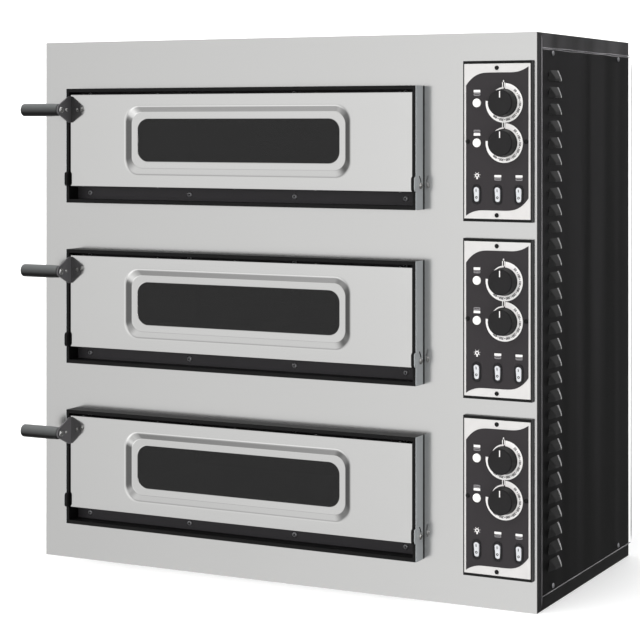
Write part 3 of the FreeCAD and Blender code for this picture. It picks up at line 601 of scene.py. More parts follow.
# name: colour, roughness, grains in a metre, spread of the colour
METALS = {
    "zinc_plate": ((0.52, 0.54, 0.55), 0.42, (40, 40, 40)),
    "element_sheath": ((0.20, 0.19, 0.18), 0.55),
    "bright_screw": ((0.66, 0.66, 0.65), 0.22, (500, 500, 500), 0.08),
    "worn_screw": ((0.62, 0.62, 0.64), 0.6, (500, 500, 500), 0.1),
    "dark_screw": ((0.03, 0.03, 0.03), 0.35, (500, 500, 500), 0.1),
}

# name: colour, roughness, grains in a metre, depth of the grain in millimetres, specular level
PLASTICS = {
    "lamp_glass": ((0.75, 0.74, 0.68), 0.15, 400, 0.1, 0.5),
    "field_print": ((0.026, 0.023, 0.025), 0.42, 900, 0.01, 0.2),
    "black_print": ((0.02, 0.02, 0.02), 0.5, 900, 0.01),
    "grey_print": ((0.27, 0.26, 0.27), 0.5, 900, 0.01),
    "dim_print": ((0.065, 0.06, 0.063), 0.5, 900, 0.01),
    "knob_plastic": ((0.015, 0.0145, 0.015), 0.42, 1200, 0.03, 0.12),
    "black_plastic": ((0.007, 0.007, 0.008), 0.28, 1500, 0.02, 0.3),
    "pilot_lens": ((0.90, 0.89, 0.86), 0.20, 500, 0.02, 0.5),
    "rocker_plastic": ((0.56, 0.57, 0.59), 0.22, 700, 0.01, 0.5),
}

# name: darker colour, lighter colour, grains in a metre, roughness, depth in millimetres
MINERALS = {
    "refractory": ((0.50, 0.44, 0.36), (0.66, 0.60, 0.51), 700, 0.85, 0.3),
    "mineral_wool": ((0.45, 0.38, 0.20), (0.62, 0.55, 0.33), 300, 0.95, 4),
    "porcelain": ((0.78, 0.77, 0.72), (0.86, 0.85, 0.81), 200, 0.25, 0.02),
}


def make_finishes(colours):
    """Every finish of the oven, by its slot's name or its own."""
    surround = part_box("door_surround_upper")
    flange_y = surround[1].y - 2.1 * MM
    box_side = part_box("control_boxes")[1].x - 0.5 * MM
    louvre_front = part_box("side_panel_right")[0].y + LOUVRE_FRONT
    black, white = colours.paint, colours.print_white
    finishes = {
        "stainless": stainless("brushed_stainless", colours.stainless, 0.21),
        "door_stainless": stainless("door_stainless", colours.stainless * 1.03, 0.12),
        "black_paint": paint("black_powder_coat", black * 0.7, 0.40, 0.15, 0.2),
        "frame_paint": paint("front_frame_paint", black * 2.6, 0.40, 0.2, 0.2),
        "side_paint": side_paint("side_panel_paint", black * 0.6, *SIDE_FADE),
        "cover_paint": paint("cover_paint", black * 4.5, 0.40, 0.25, 0.3),
        # far lighter than the black paint: a painted highlight on the rolled hems
        "seam_paint": paint("seam_paint", black * 26.0, 0.25, 0.6, 0.8),
        # the louvres are painted lighter than the flat side: painted light on the hoods' faces
        "louvre_paint": louvre_paint("louvre_paint", black * 2.6, louvre_front),
        "handle_paint": paint("handle_paint", black * 10.0, 0.40, 0.2, 0.1),
        "black_enamel": paint("black_enamel", black, 0.35),
        "box_paint": box_paint("control_box_paint", black * 0.6, box_side, 0.05),
        "surround": surround_paint("surround_paint", (surround[0].x, surround[1].x), flange_y, black),
        "chamber_steel": metal("aluminised_steel", (0.36, 0.35, 0.33), 0.5),
        "window_glass": dark_glass("window_glass", colours.glass, 0.86),
        "plate_white": plastic("plate_white", [c * 0.72 for c in white], 0.5, 600, 0.01, 0.12),
        "white_print": plastic("white_print", white, 0.5, 900, 0.01),
        # the grip's colour holds painted light from above
        "grip_plastic": top_lit_plastic("grip_plastic", grey(0.003), grey(0.12, (0.95, 1, 1))),
    }
    for maker, table in ((metal, METALS), (plastic, PLASTICS), (mineral, MINERALS)):
        finishes.update({name: maker(name, *values) for name, values in table.items()})
    return finishes


# ---------------------------------------------------------------- what a user would change

def reflectance(name, description, default):
    """A reflectance the user can change."""
    return bpy.props.FloatProperty(name=name, description=description, default=default,
                                   min=0, max=1, subtype="FACTOR")


def metres(name, description, default):
    """A length the user can change, in metres."""
    return bpy.props.FloatProperty(name=name, description=description, default=default, unit="LENGTH")


class OvenColours(bpy.types.PropertyGroup):
    stainless: reflectance("Stainless", "Reflectance of the brushed sheet", 0.62)
    paint: reflectance("Black paint", "Reflectance of the powder coat", 0.009)
    glass: reflectance("Door glass", "Reflectance of the tinted glass", 0.008)
    print_white: bpy.props.FloatVectorProperty(
        name="White print", description="Colour of the control panel's plate and marks",
        default=(0.76, 0.745, 0.735), min=0, max=1, subtype="COLOR")


class OvenSizes(bpy.types.PropertyGroup):
    sheet_edge: metres("Sheet edge", "Radius of a folded or cut sheet's edge", 0.0006)
    louvre_bulge: metres("Louvre bulge", "How far each louvre's lip stands out", 0.0065)
    louvre_pitch: metres("Louvre pitch", "Distance from one louvre to the next", 0.0265)
    dish_depth: metres("Dish depth", "How far the door's skin is pressed in round the window", 0.0052)
    dish_corner: metres("Dish corner", "Radius of the pressed dish's outer corners", 0.027)
    window_corner: metres("Window corner", "Radius of the window's corners", 0.0195)


def sizes():
    return bpy.context.scene.oven_sizes


# ---------------------------------------------------------------- casing

class OVEN_OT_casing(bpy.types.Operator):
    """Round the casing's sheets and give them their finishes"""
    bl_idname = "oven.casing"
    bl_label = "Casing"

    def execute(self, context):
        edge = sizes().sheet_edge
        refine("front_panel", edge, "stainless")
        for node, finish in (("front_frame", "frame_paint"), ("side_panel_left", "black_paint"),
                             ("top_cover", "cover_paint"), ("bottom_pan", "black_paint")):
            refine(node, edge, finish, "black_paint")
        for node in ("back_panel", "bulkhead"):
            refine(node, edge / 2, "zinc_plate")
        self.seams()
        return {"FINISHED"}

    def seams(self):
        """The rolled hems where the frame, the cover and the pan meet the louvred side; their light grey colour is
        a painted highlight.
        """
        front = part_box("front_frame")
        cover, pan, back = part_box("top_cover")[0].z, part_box("bottom_pan")[1].z, CAD_BOX[1].y
        start = front[1].y + 0.5 * MM
        lines = [((start, cover + 0.7 * MM), (back, cover + 0.7 * MM), 0.75 * MM, 0.5 * MM, 0),
                 ((start, cover - 1.6 * MM), (back, cover - 1.6 * MM), 0.6 * MM, 0.5 * MM, 2.2),
                 ((start, pan + 0.4 * MM), (back, pan + 0.4 * MM), 0.8 * MM, 0.1 * MM, 0),
                 ((start, front[0].z + 1 * MM), (start, front[1].z - 1 * MM), 0.9 * MM, 0, 0),
                 ((back - 0.9 * MM, pan + 1 * MM), (back - 0.9 * MM, cover - 3 * MM), 0.9 * MM, 0, 0)]
        hems = [self.bead(front[1].x - 0.2 * MM, *line) for line in lines]
        finish_piece(join("side_hems", hems), "seam_paint", "casing", "black_paint")

    def bead(self, x, start, end, radius, wave, phase):
        """A thin round hem between two (y, z) places, that wanders a little from straight."""
        upright = end[1] - start[1] > end[0] - start[0]

        def place(u, v):
            swell = radius * min(1, 40 * min(u, 1 - u)) ** 0.5
            out, aside = swell * math.cos(math.tau * v), swell * math.sin(math.tau * v)
            drift = wave * math.sin(phase + 19 * u) * math.sin(3 + 7 * u)
            y, z = (a + (b - a) * u for a, b in zip(start, end))
            return (x + out, y + aside, z) if upright else (x + out, y, z + aside + drift)

        bead = sheet_grid("bead", 90, 12, place)
        edit_all(bead)
        bpy.ops.mesh.remove_doubles(threshold=1e-6)
        face_outwards()
        object_mode()
        return soften(bead, 0)


class OVEN_OT_louvres(bpy.types.Operator):
    """Model the right side panel: a flat sheet with a column of pressed louvres"""
    bl_idname = "oven.louvres"
    bl_label = "Louvred side"

    def execute(self, context):
        low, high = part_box("side_panel_right")
        bulge, pitch = sizes().louvre_bulge, sizes().louvre_pitch
        outer, sheet = high.x - bulge, high.x - bulge - low.x
        front = low.y + LOUVRE_FRONT
        length, height, foot = LOUVRE_LENGTH, 17 * MM, low.z + 33.2 * MM
        count = int((high.z - foot) // pitch)
        panel = block("louvred_panel", low, (outer, high.y, high.z))
        rim = 2 * MM
        slot = block("slot", (low.x - rim, front + rim, foot + 0.1 * MM),
                     (outer + rim, front + length - rim, foot + height * 0.72))
        slots = join("slots", [stamp(slot, f"slot_{number}", (0, 0, pitch * number))
                               for number in range(count)])
        modify(panel, "BOOLEAN", operation="DIFFERENCE", object=slots, solver="EXACT")
        discard(slot, slots)
        hood = self.hood(outer, front, length, foot, height, bulge, sheet)
        hoods = [stamp(hood, f"hood_{number}", (0, 0, pitch * number)) for number in range(count)]
        discard(hood)
        soften(panel, 0.3 * MM, segments=2)
        finish_piece(panel, "side_paint", "casing", "black_paint", "side_panel_right")
        finish_piece(join("louvre_hoods", hoods), "louvre_paint", "casing", "black_paint")
        return {"FINISHED"}

    def hood(self, outer, front, length, foot, height, bulge, sheet):
        """One louvre: a flap that leans out to its open lip, between a slanted end and a round one."""
        front_run, rear_run = LOUVRE_FACET, 4 * MM
        sunk, blend = 0.5 * MM, 0.09

        def soft_least(a, b):
            return (a + b - math.sqrt((a - b) ** 2 + blend ** 2)) / 2

        def place(u, v):
            back = min(1, (1 - u) * length / rear_run)
            end = math.sqrt(max(0, 1 - (1 - back) ** 2))
            flap = soft_least(1.0, 1.25 * (1 - v))
            rise = min(end, max(0, soft_least(flap, u * length / front_run)))
            lean = 8 * MM * v * (1 - u)
            lip = max(0, 1 - abs((1 - u) * length - 5.2 * MM) / (2.6 * MM))
            out = (bulge - 0.9 * MM + sunk) * rise - sunk * (1 - end) + 0.9 * MM * lip * rise
            return (outer + min(out, bulge), front + u * length + lean, foot + v * height)

        hood = sheet_grid("hood", 60, 14, place)
        thicken(hood, sheet * 0.7)
        pick(hood)
        bpy.ops.object.shade_smooth_by_angle(angle=math.radians(60))
        return hood


class OVEN_OT_surrounds(bpy.types.Operator):
    """Round the door surrounds, painted black with bare steel cheeks"""
    bl_idname = "oven.surrounds"
    bl_label = "Door surrounds"

    def execute(self, context):
        for deck in DECKS:
            refine(f"door_surround_{deck}", 0.5 * MM, "surround", "black_paint")
        return {"FINISHED"}


class OVEN_OT_inside(bpy.types.Operator):
    """Finish the chambers' liners, stones, elements and lamps, and what is sealed inside"""
    bl_idname = "oven.inside"
    bl_label = "Inside"

    def execute(self, context):
        for deck in DECKS:
            refine(f"chamber_liner_{deck}", 0.3 * MM, "chamber_steel")
        refine("baking_stones", 1.2 * MM, "refractory")
        refine("thermostats", 0.4 * MM, "zinc_plate")
        refine("terminal_block", 0.6 * MM, "porcelain")
        for node, finish in (("upper_elements", "element_sheath"), ("lower_elements", "element_sheath"),
                             ("oven_lamps", "lamp_glass"), ("insulation", "mineral_wool")):
            dress(NODES[node], FINISHES[finish])
        return {"FINISHED"}


class OVEN_OT_gland(bpy.types.Operator):
    """Model the supply cable's gland: a hexagon nut, a tapering dome and a flanged seat"""
    bl_idname = "oven.gland"
    bl_label = "Cable gland"

    def execute(self, context):
        low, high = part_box("cable_gland")
        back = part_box("back_panel")[1].y
        centre = middle((low, high))
        radius, bore = (high.x - low.x) / 2, 5 * MM
        reach = high.y - back
        body = lathe("gland_body", [(bore, reach - 1 * MM), (bore, 0), (radius * 0.94, 0),
                                    (radius * 0.94, 1.2 * MM), (radius * 0.8, 1.6 * MM),
                                    (radius * 0.8, 7 * MM), (radius * 0.78, 9 * MM),
                                    (radius * 0.66, reach - 1.4 * MM), (radius * 0.55, reach),
                                    (bore, reach), (bore, reach - 1 * MM)], 48)
        nut = lathe("gland_nut", [(radius * 0.9, 1.6 * MM), (radius * 0.99, 2.2 * MM),
                                  (radius * 0.99, 6 * MM), (radius * 0.9, 6.6 * MM)], 6)
        inner = lathe("gland_inner", [(radius * 0.99, 0), (radius * 0.99, 5 * MM)], 6)
        pieces = [stamp(model, "gland", facing("+Y", (centre.x, y, centre.z)))
                  for model, y in ((body, back), (nut, back), (inner, low.y))]
        discard(body, nut, inner)
        gland = soften(join("supply_gland", pieces), 0.3 * MM, segments=2)
        finish_piece(gland, "black_plastic", "casing", "black_plastic", "cable_gland")
        return {"FINISHED"}


# ---------------------------------------------------------------- doors

class OVEN_OT_doors(bpy.types.Operator):
    """Model each door's pressed stainless skin, its inner pan and its glass"""
    bl_idname = "oven.doors"
    bl_label = "Doors"

    def execute(self, context):
        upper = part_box("door_skin_upper")
        skin = self.skin(*upper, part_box("door_glass_upper"))
        for deck in DECKS:
            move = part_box(f"door_skin_{deck}")[0] - upper[0]
            body = f"door_{deck}"
            piece = stamp(skin, f"pressed_skin_{deck}", move)
            finish_piece(piece, "door_stainless", body, "stainless", f"door_skin_{deck}")
            refine(f"door_liner_{deck}", 0.3 * MM, "black_enamel")
            refine(f"door_glass_{deck}", 0.5 * MM, "window_glass")
        discard(skin)
        return {"FINISHED"}

    def skin(self, low, high, glass):
        """A pressed dish joined to the leaf's edge, whose edges are folded back."""
        sheet = 1.5 * MM
        overlap = 12 * MM
        centre = middle(glass)
        window = ((glass[1].x - glass[0].x) / 2 - overlap, (glass[1].z - glass[0].z) / 2 - overlap)
        rings = self.dish_rings(window)
        per_corner = 14
        count = per_corner * 4

        def place(u, v):
            corner, step = divmod(round(u * count) % count, per_corner)
            half_x, half_z, radius, depth = rings[round(v * (len(rings) - 1))]
            turn = math.pi / 2 * (corner + step / (per_corner - 1))
            side_x = 1 if corner in (0, 3) else -1
            side_z = 1 if corner in (0, 1) else -1
            return (centre.x + side_x * (half_x - radius) + radius * math.cos(turn), low.y + depth,
                    centre.z + side_z * (half_z - radius) + radius * math.sin(turn))

        dish = sheet_grid("dish", count, len(rings) - 1, place)
        edit_all(dish)
        bpy.ops.mesh.remove_doubles(threshold=1e-7)
        object_mode()
        return self.leaf(dish, low, high, sheet)

    def dish_rings(self, window):
        """(half width, half height, corner radius, depth) from the dish's rim to the window's edge."""
        depth, rim, foot = sizes().dish_depth, sizes().dish_corner, sizes().window_corner + 1 * MM
        slope, reach = 13.7 * MM, 24.4 * MM
        rings = []
        steps = 20
        for step in range(steps + 1):
            t = step / steps
            spread = reach - slope * t
            rings.append((window[0] + spread, window[1] + spread, rim + (foot - rim) * t,
                          depth * self.ease(t)))
        for spread, sink in ((1.2, 0), (0.6, 0.1), (0.2, 0.35), (0, 0.7)):
            rings.append((window[0] + spread * MM, window[1] + spread * MM,
                          sizes().window_corner, depth + sink * MM))
        return rings

    def ease(self, t):
        """A pressed slope: well rounded at its rim, straight, then crisp at its foot."""
        rim, foot = 0.36, 0.08
        total = 1 - (rim + foot) / 2
        if t < rim:
            return t * t / (2 * rim) / total
        if t > 1 - foot:
            return 1 - (1 - t) ** 2 / (2 * foot) / total
        return (t - rim / 2) / total

    def leaf(self, dish, low, high, sheet):
        """Fill the front round the dish, fold its four edges back and give it a thickness."""
        clear_selection()
        centre = middle((low, high))
        bpy.ops.mesh.primitive_plane_add(size=1, location=(centre.x, low.y, centre.z),
                                         rotation=(math.pi / 2, 0, 0))
        bpy.context.object.scale = (high.x - low.x, high.z - low.z, 1)
        edge = settle("leaf")
        edit_all(edge)
        bpy.ops.mesh.subdivide(number_cuts=14)
        bpy.ops.mesh.delete(type="ONLY_FACE")
        object_mode()
        gap = 0.1 * MM
        inner = [v.index for v in edge.data.vertices
                 if low.x + gap < v.co.x < high.x - gap and low.z + gap < v.co.z < high.z - gap]
        choose(edge, "VERT", lambda v: v.index in inner)
        bpy.ops.mesh.delete(type="VERT")
        object_mode()
        leaf = join("leaf", [edge, dish])
        outline = self.open_edges(leaf, low.y)
        choose(leaf, "EDGE", lambda e: e.index in outline)
        bpy.ops.mesh.fill(use_beauty=True)
        face_outwards()
        object_mode()
        rim = self.rim_edges(leaf, low, high)
        choose(leaf, "EDGE", lambda e: e.index in rim)
        fold = high.y - low.y
        bpy.ops.mesh.extrude_region_move(TRANSFORM_OT_translate={"value": (0, fold, 0)})
        face_outwards()
        object_mode()
        if sum(face.normal.y * face.area for face in leaf.data.polygons) > 0:
            leaf.data.flip_normals()
        folds = self.rim_edges(leaf, low, high)
        corners = [edge.index for edge in leaf.data.edges
                   if run_back(leaf.data, edge) > fold * 0.9
                   and self.on_corner(leaf.data.vertices[edge.vertices[0]].co, low, high)]
        choose(leaf, "EDGE", lambda e: e.index in folds or e.index in corners)
        bpy.ops.mesh.bevel(offset=1.6 * MM, segments=4, affect="EDGES", clamp_overlap=False)
        object_mode()
        thicken(leaf, sheet)
        return soften(leaf, 0)

    def rim_edges(self, leaf, low, high):
        """The edges of the leaf's front that run along one of its four sides."""
        vertices = leaf.data.vertices
        sides = [(0, low.x), (0, high.x), (2, low.z), (2, high.z)]
        return {edge.index for edge in leaf.data.edges
                if all(abs(vertices[i].co.y - low.y) < NEAR for i in edge.vertices)
                and any(all(abs(vertices[i].co[axis] - level) < NEAR for i in edge.vertices)
                        for axis, level in sides)}

    def on_corner(self, place, low, high):
        """Whether a place lies on one of the leaf's four corners, at any depth."""
        return (min(abs(place.x - low.x), abs(place.x - high.x)) < NEAR
                and min(abs(place.z - low.z), abs(place.z - high.z)) < NEAR)

    def open_edges(self, piece, front):
        """The edges in the front plane that have fewer than two faces."""
        counts = {}
        for face in piece.data.polygons:
            for key in face.edge_keys:
                counts[key] = counts.get(key, 0) + 1
        vertices = piece.data.vertices
        return {edge.index for edge in piece.data.edges if counts.get(edge.key, 0) < 2
                and all(abs(vertices[i].co.y - front) < NEAR for i in edge.vertices)}


class OVEN_OT_handles(bpy.types.Operator):
    """Round each handle's bracket and turn its grip"""
    bl_idname = "oven.handles"
    bl_label = "Handles"

    def execute(self, context):
        low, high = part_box("handle_grip_upper")
        radius, length = (high.z - low.z) / 2, high.x - low.x
        bevel = 3 * MM
        profile = [(radius * 0.86, 0), (radius * 0.93, 0.6 * MM), (radius * 0.95, 2 * MM),
                   (radius * 0.965, 8 * MM), (radius, 16 * MM), (radius, length - bevel)]
        steps = 5
        for step in range(1, steps + 1):
            angle = math.pi / 2 * step / steps
            profile.append((radius - bevel * (1 - math.cos(angle)),
                            length - bevel * (1 - math.sin(angle))))
        profile.append((radius * 0.4, length))
        grip = lathe("grip", profile, 56)
        for deck in DECKS:
            refine(f"handle_plate_{deck}", 0.7 * MM, "handle_paint", "black_paint")
            low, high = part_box(f"handle_grip_{deck}")
            centre = middle((low, high))
            piece = stamp(grip, f"round_grip_{deck}", facing("-X", (high.x, centre.y, centre.z)))
            soften(piece, 0)
            finish_piece(piece, "grip_plastic", f"door_{deck}", "grip_plastic", f"handle_grip_{deck}")
        discard(grip)
        return {"FINISHED"}


# ---------------------------------------------------------------- fasteners

def screw_head(name, radius, height, recess):
    """A domed head with a cross recess, standing on its seat and pointing along +Z."""
    head = lathe(name, [(radius * 0.96, 0), (radius, height * 0.15), (radius * 0.97, height * 0.45),
                        (radius * 0.82, height * 0.78), (radius * 0.55, height * 0.95),
                        (radius * 0.2, height)], 28)
    if recess:
        arm, wide = radius * 0.5, radius * 0.24
        bars = [block("bar", (-x, -y, height * 0.35), (x, y, height * 1.5))
                for x, y in ((arm, wide), (wide, arm))]
        for bar in bars:
            modify(head, "BOOLEAN", operation="DIFFERENCE", object=bar, solver="EXACT")
        discard(*bars)
    return soften(head, 0)


class OVEN_OT_fasteners(bpy.types.Operator):
    """Put cross-head screws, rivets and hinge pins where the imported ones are"""
    bl_idname = "oven.fasteners"
    bl_label = "Fasteners"

    def execute(self, context):
        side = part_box("side_panel_left")[0].x
        groups = {"bright": [], "dark": [], "side": [], "shade_disc": []}
        # a dark disc at the bottom of each cross recess: painted shade
        shade_disc = lathe("shade_disc", [(2.3 * MM, 0.6 * MM), (2.3 * MM, 0.9 * MM)], 24)
        pan = screw_head("pan_head", 4.2 * MM, 2 * MM, True)
        plate = screw_head("plate_head", 3.5 * MM, 1.6 * MM, True)
        for low, high in islands("casing_screws"):
            centre = middle((low, high))
            # a side screw is the longest along X, and a surround screw taller than a panel's
            if high.x - low.x > 9.5 * MM:
                way = "+X" if centre.x > 0 else "-X"
                seat = (math.copysign(abs(side), centre.x), centre.y, centre.z)
                groups["side"].append(stamp(pan, "side_screw", facing(way, seat)))
            elif high.z - low.z > 7 * MM:
                seat = (centre.x, low.y + 2 * MM, centre.z)
                groups["bright"].append(stamp(pan, "surround_screw", facing("-Y", seat)))
                # painted shade in the surround screw's cross recess
                groups["shade_disc"].append(stamp(shade_disc, "recess", facing("-Y", seat)))
            else:
                seat = (centre.x, low.y + 1 * MM, centre.z)
                groups["dark"].append(stamp(plate, "panel_screw", facing("-Y", seat)))
        for group, name, finish, *nodes in (
                ("bright", "surround_screws", "worn_screw", "casing_screws"),
                ("dark", "panel_screws", "dark_screw"), ("shade_disc", "screw_recesses", "dark_screw"),
                ("side", "side_screws", "worn_screw")):
            finish_piece(join(name, groups[group]), finish, "casing", "bright_screw", *nodes)
        discard(pan, plate, shade_disc)
        self.door_fasteners()
        return {"FINISHED"}

    def door_fasteners(self):
        """Each door's rivets, hinge pins, and the handle's bolt and stud."""
        rivet = screw_head("rivet", 2.6 * MM, 1 * MM, False)
        pin = screw_head("pin", 5.2 * MM, 2.7 * MM, True)
        bolt = screw_head("bolt", 5.6 * MM, 3.6 * MM, True)
        stud = screw_head("stud", 3.2 * MM, 2.5 * MM, True)
        for deck in DECKS:
            node = f"door_fasteners_{deck}"
            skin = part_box(f"door_skin_{deck}")
            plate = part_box(f"handle_plate_{deck}")[1].x
            heads = []
            for low, high in islands(node):
                centre = middle((low, high))
                if low.z < skin[0].z or high.z > skin[1].z:
                    way, seat = ("-Z", skin[0].z) if low.z < skin[0].z else ("+Z", skin[1].z)
                    heads.append(stamp(rivet, "head", facing(way, (centre.x, centre.y, seat))))
                elif high.y > skin[0].y:
                    right = centre.x > middle(skin).x
                    seat = high.x - 2 * MM if right else low.x + 2 * MM
                    way = "+X" if right else "-X"
                    heads.append(stamp(pin, "head", facing(way, (seat, centre.y, centre.z))))
                    inner = low.x if right else high.x
                    heads.append(self.shank(seat, inner, centre))
                else:
                    model = bolt if high.z - low.z > 8 * MM else stud
                    heads.append(stamp(model, "head", facing("+X", (plate, centre.y, centre.z))))
            piece = join(f"pins_and_rivets_{deck}", heads)
            finish_piece(piece, "bright_screw", f"door_{deck}", "bright_screw", node)
        discard(rivet, pin, bolt, stud)

    def shank(self, seat, inner, centre):
        """The hinge pin between its head and its nut inside the door."""
        length = abs(inner - seat)
        bar = lathe("bar", [(3 * MM, 0), (3 * MM, length - 4 * MM), (4 * MM, length - 4 * MM),
                            (4 * MM, length)], 24)
        way = "-X" if inner < seat else "+X"
        piece = stamp(bar, "shank", facing(way, (seat, centre.y, centre.z)))
        discard(bar)
        return piece


# ---------------------------------------------------------------- controls

def printed(name, columns, place):
    """A printed shape, 0.1 mm thick, in one row of columns."""
    return thicken(sheet_grid(name, columns, 1, place), 0.1 * MM)


def ring_place(centre, front, start, sweep, inner, outer):
    """Places on a band about a dial's centre; angles run clockwise from the top, in degrees."""
    def place(u, v):
        angle = start + sweep * u
        near, far = inner(angle), outer(angle)
        radius = near + (far - near) * v
        turn = math.radians(angle)
        return (centre.x + radius * math.sin(turn), front, centre.z + radius * math.cos(turn))
    return place


class OVEN_OT_control_panels(bpy.types.Operator):
    """Model the control boxes, their plates and everything printed on them"""
    bl_idname = "oven.control_panels"
    bl_label = "Control panels"

    def execute(self, context):
        refine("control_boxes", 0.9 * MM, "box_paint", "black_paint")
        refine("faceplates", 0.25 * MM, "plate_white", "printed_plate")
        plates = islands("faceplates")
        knobs = [middle(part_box(f"knob_upper_{number}")) for number in (1, 2)]
        switches = [middle(box) for box in islands("switch_bodies")[:3]]
        pilots = [middle(box) for box in islands("pilot_lamps")[:2]]
        front = plates[0][0].y
        prints = {
            "field_print": [self.field(plates[0], front)],
            "white_print": self.white_marks(front, knobs, switches, pilots),
            "grey_print": self.grey_marks(front, switches, pilots),
            "dim_print": [self.mark(front, x, z, 9.4 * MM, 2.4 * MM, 0.18)
                          for x, z in self.unlit_halves(switches, pilots)],
            "black_print": self.numerals(front, knobs),
        }
        for finish, marks in prints.items():
            whole = join(finish, marks)
            for deck, plate in zip(DECKS, plates):
                piece = stamp(whole, f"{finish}_{deck}", plate[0] - plates[0][0])
                finish_piece(piece, finish, "casing", "printed_plate")
            discard(whole)
        return {"FINISHED"}

    def field(self, plate, front):
        """The dark printed field: its head and foot sweep up to one side and down to the other."""
        margin = 3 * MM
        low, high = plate
        left, right = low.x + margin, high.x - margin
        base = low.z
        head, foot = high.z - 13.7 * MM, base + 13.1 * MM

        def sweep(t):
            dip = 20 * MM * max(0, 1 - t / 0.4) ** 3
            lift = 9 * MM * max(0, (t - 0.7) / 0.3) ** 2.5
            return lift - dip

        def place(u, v):
            top = head + sweep(u)
            bottom = foot - sweep(1 - u)
            return (left + (right - left) * u, front - 0.12 * MM, bottom + (top - bottom) * v)

        return printed("field", 60, place)

    def mark(self, front, x, z, width, height, lift=0.22):
        """A printed bar about a place on the plate, standing out by a lift in millimetres."""
        return block("mark", (x - width / 2, front - lift * MM, z - height / 2),
                     (x + width / 2, front - 0.1 * MM, z + height / 2))

    def white_marks(self, front, knobs, switches, pilots):
        """The dials' scales and horns, the symbols' lit halves and the lamp symbol."""
        level = front - 0.22 * MM
        marks = []
        inner_edge, dial = 21.9 * MM, 30.8 * MM

        def inner(angle):
            t = min(1, max(0, (angle - 165) / 105))
            return inner_edge + 4.6 * MM * t * t * (3 - 2 * t)

        def horn_edge(angle):
            return inner_edge + 2.6 * MM * (1 - (abs(angle) / 78) ** 2)

        for knob in knobs:
            band = ring_place(knob, level, 4, 272, inner, lambda angle: dial)
            marks.append(printed("scale", 90, band))
            horn = ring_place(knob, level, -78, 76, lambda angle: inner_edge, horn_edge)
            marks.append(printed("horn", 30, horn))
            for side in (-1, 1):
                marks.append(self.mark(front, knob.x + (side * 1.7 - 1.0) * MM, knob.z + 27.6 * MM,
                                       1.3 * MM, 8.2 * MM))
            marks.append(self.letter("0", knob.x - 1.0 * MM, knob.z + 33.6 * MM, 4.0 * MM, level, 0))
        for pilot, side in zip(pilots, (1, -1)):
            z = pilot.z + 15.8 * MM
            marks.append(self.mark(front, pilot.x, z + 2.6 * MM * side, 11 * MM, 4 * MM))
        for switch in switches[1:]:
            marks.append(self.mark(front, switch.x + 0.4 * MM, switch.z + 28.6 * MM, 11.4 * MM, 3.6 * MM))
        bulb = Vector((switches[0].x + 0.8 * MM, 0, switches[0].z + 29.4 * MM))
        marks += self.bulb(front, level, bulb)
        return marks

    def bulb(self, front, level, centre):
        """A lamp symbol: a round bulb with a dark middle, its cap, and short rays."""
        loop = ring_place(centre, level, 0, 360, lambda a: 1.7 * MM, lambda a: 3.3 * MM)
        parts = [printed("bulb", 32, loop),
                 self.mark(front, centre.x, centre.z - 4.6 * MM, 2.4 * MM, 2.4 * MM)]
        for angle in (-120, -75, -30, 30, 75, 120):
            ray = ring_place(centre, level, angle - 4, 8, lambda a: 4.1 * MM, lambda a: 5.6 * MM)
            parts.append(printed("ray", 1, ray))
        return parts

    def grey_marks(self, front, switches, pilots):
        """The unlit half of each heater symbol, as a thin frame."""
        marks = []
        for x, z in self.unlit_halves(switches, pilots):
            width, height, line = 11 * MM, 4 * MM, 1.0 * MM
            for side in (-1, 1):
                marks.append(self.mark(front, x, z + side * (height - line) / 2, width, line))
                marks.append(self.mark(front, x + side * (width - line) / 2, z, line, height))
        return marks

    def unlit_halves(self, switches, pilots):
        """The middles of the heater symbols' unlit halves."""
        spots = [(pilot.x, pilot.z + 15.8 * MM - 2.4 * MM * side)
                 for pilot, side in zip(pilots, (1, -1))]
        return spots + [(switch.x + 0.4 * MM, switch.z + 24 * MM) for switch in switches[1:]]

    def letter(self, text, x, z, size, front, angle):
        """A numeral facing -Y, turned clockwise by an angle in degrees, as a solid."""
        clear_selection()
        bpy.ops.object.text_add(location=(0, 0, 0))
        piece = bpy.context.object
        piece.data.body = text
        piece.data.size = size
        piece.data.align_x = "CENTER"
        piece.data.align_y = "CENTER"
        piece.data.extrude = 0.05 * MM
        piece.data.offset = 0.2 * MM
        piece.data.resolution_u = 3
        bpy.ops.object.convert(target="MESH")
        piece = bpy.context.object
        turn = Matrix.Rotation(math.radians(angle), 4, "Y") @ Matrix.Rotation(math.pi / 2, 4, "X")
        piece.data.transform(Matrix.Translation((x, front, z)) @ turn)
        return piece

    def on_dial(self, knob, radius, angle):
        """A place round a dial, clockwise from its top."""
        turn = math.radians(angle)
        return knob.x + radius * math.sin(turn), knob.z + radius * math.cos(turn)

    def numerals(self, front, knobs):
        """Temperatures round each dial, with a dot between neighbours."""
        level = front - 0.27 * MM
        radius, pitch, first = 26.1 * MM, 24.3, 20
        marks = []
        for knob in knobs:
            for step in range(1, 9):
                angle = first + pitch * step
                x, z = self.on_dial(knob, radius, angle)
                marks.append(self.letter(str(50 * step), x, z, 4.9 * MM, level, angle))
                if step < 8:
                    x, z = self.on_dial(knob, radius, angle + pitch / 2)
                    marks.append(self.mark(front, x, z, 1.4 * MM, 1.4 * MM, 0.3))
        return marks


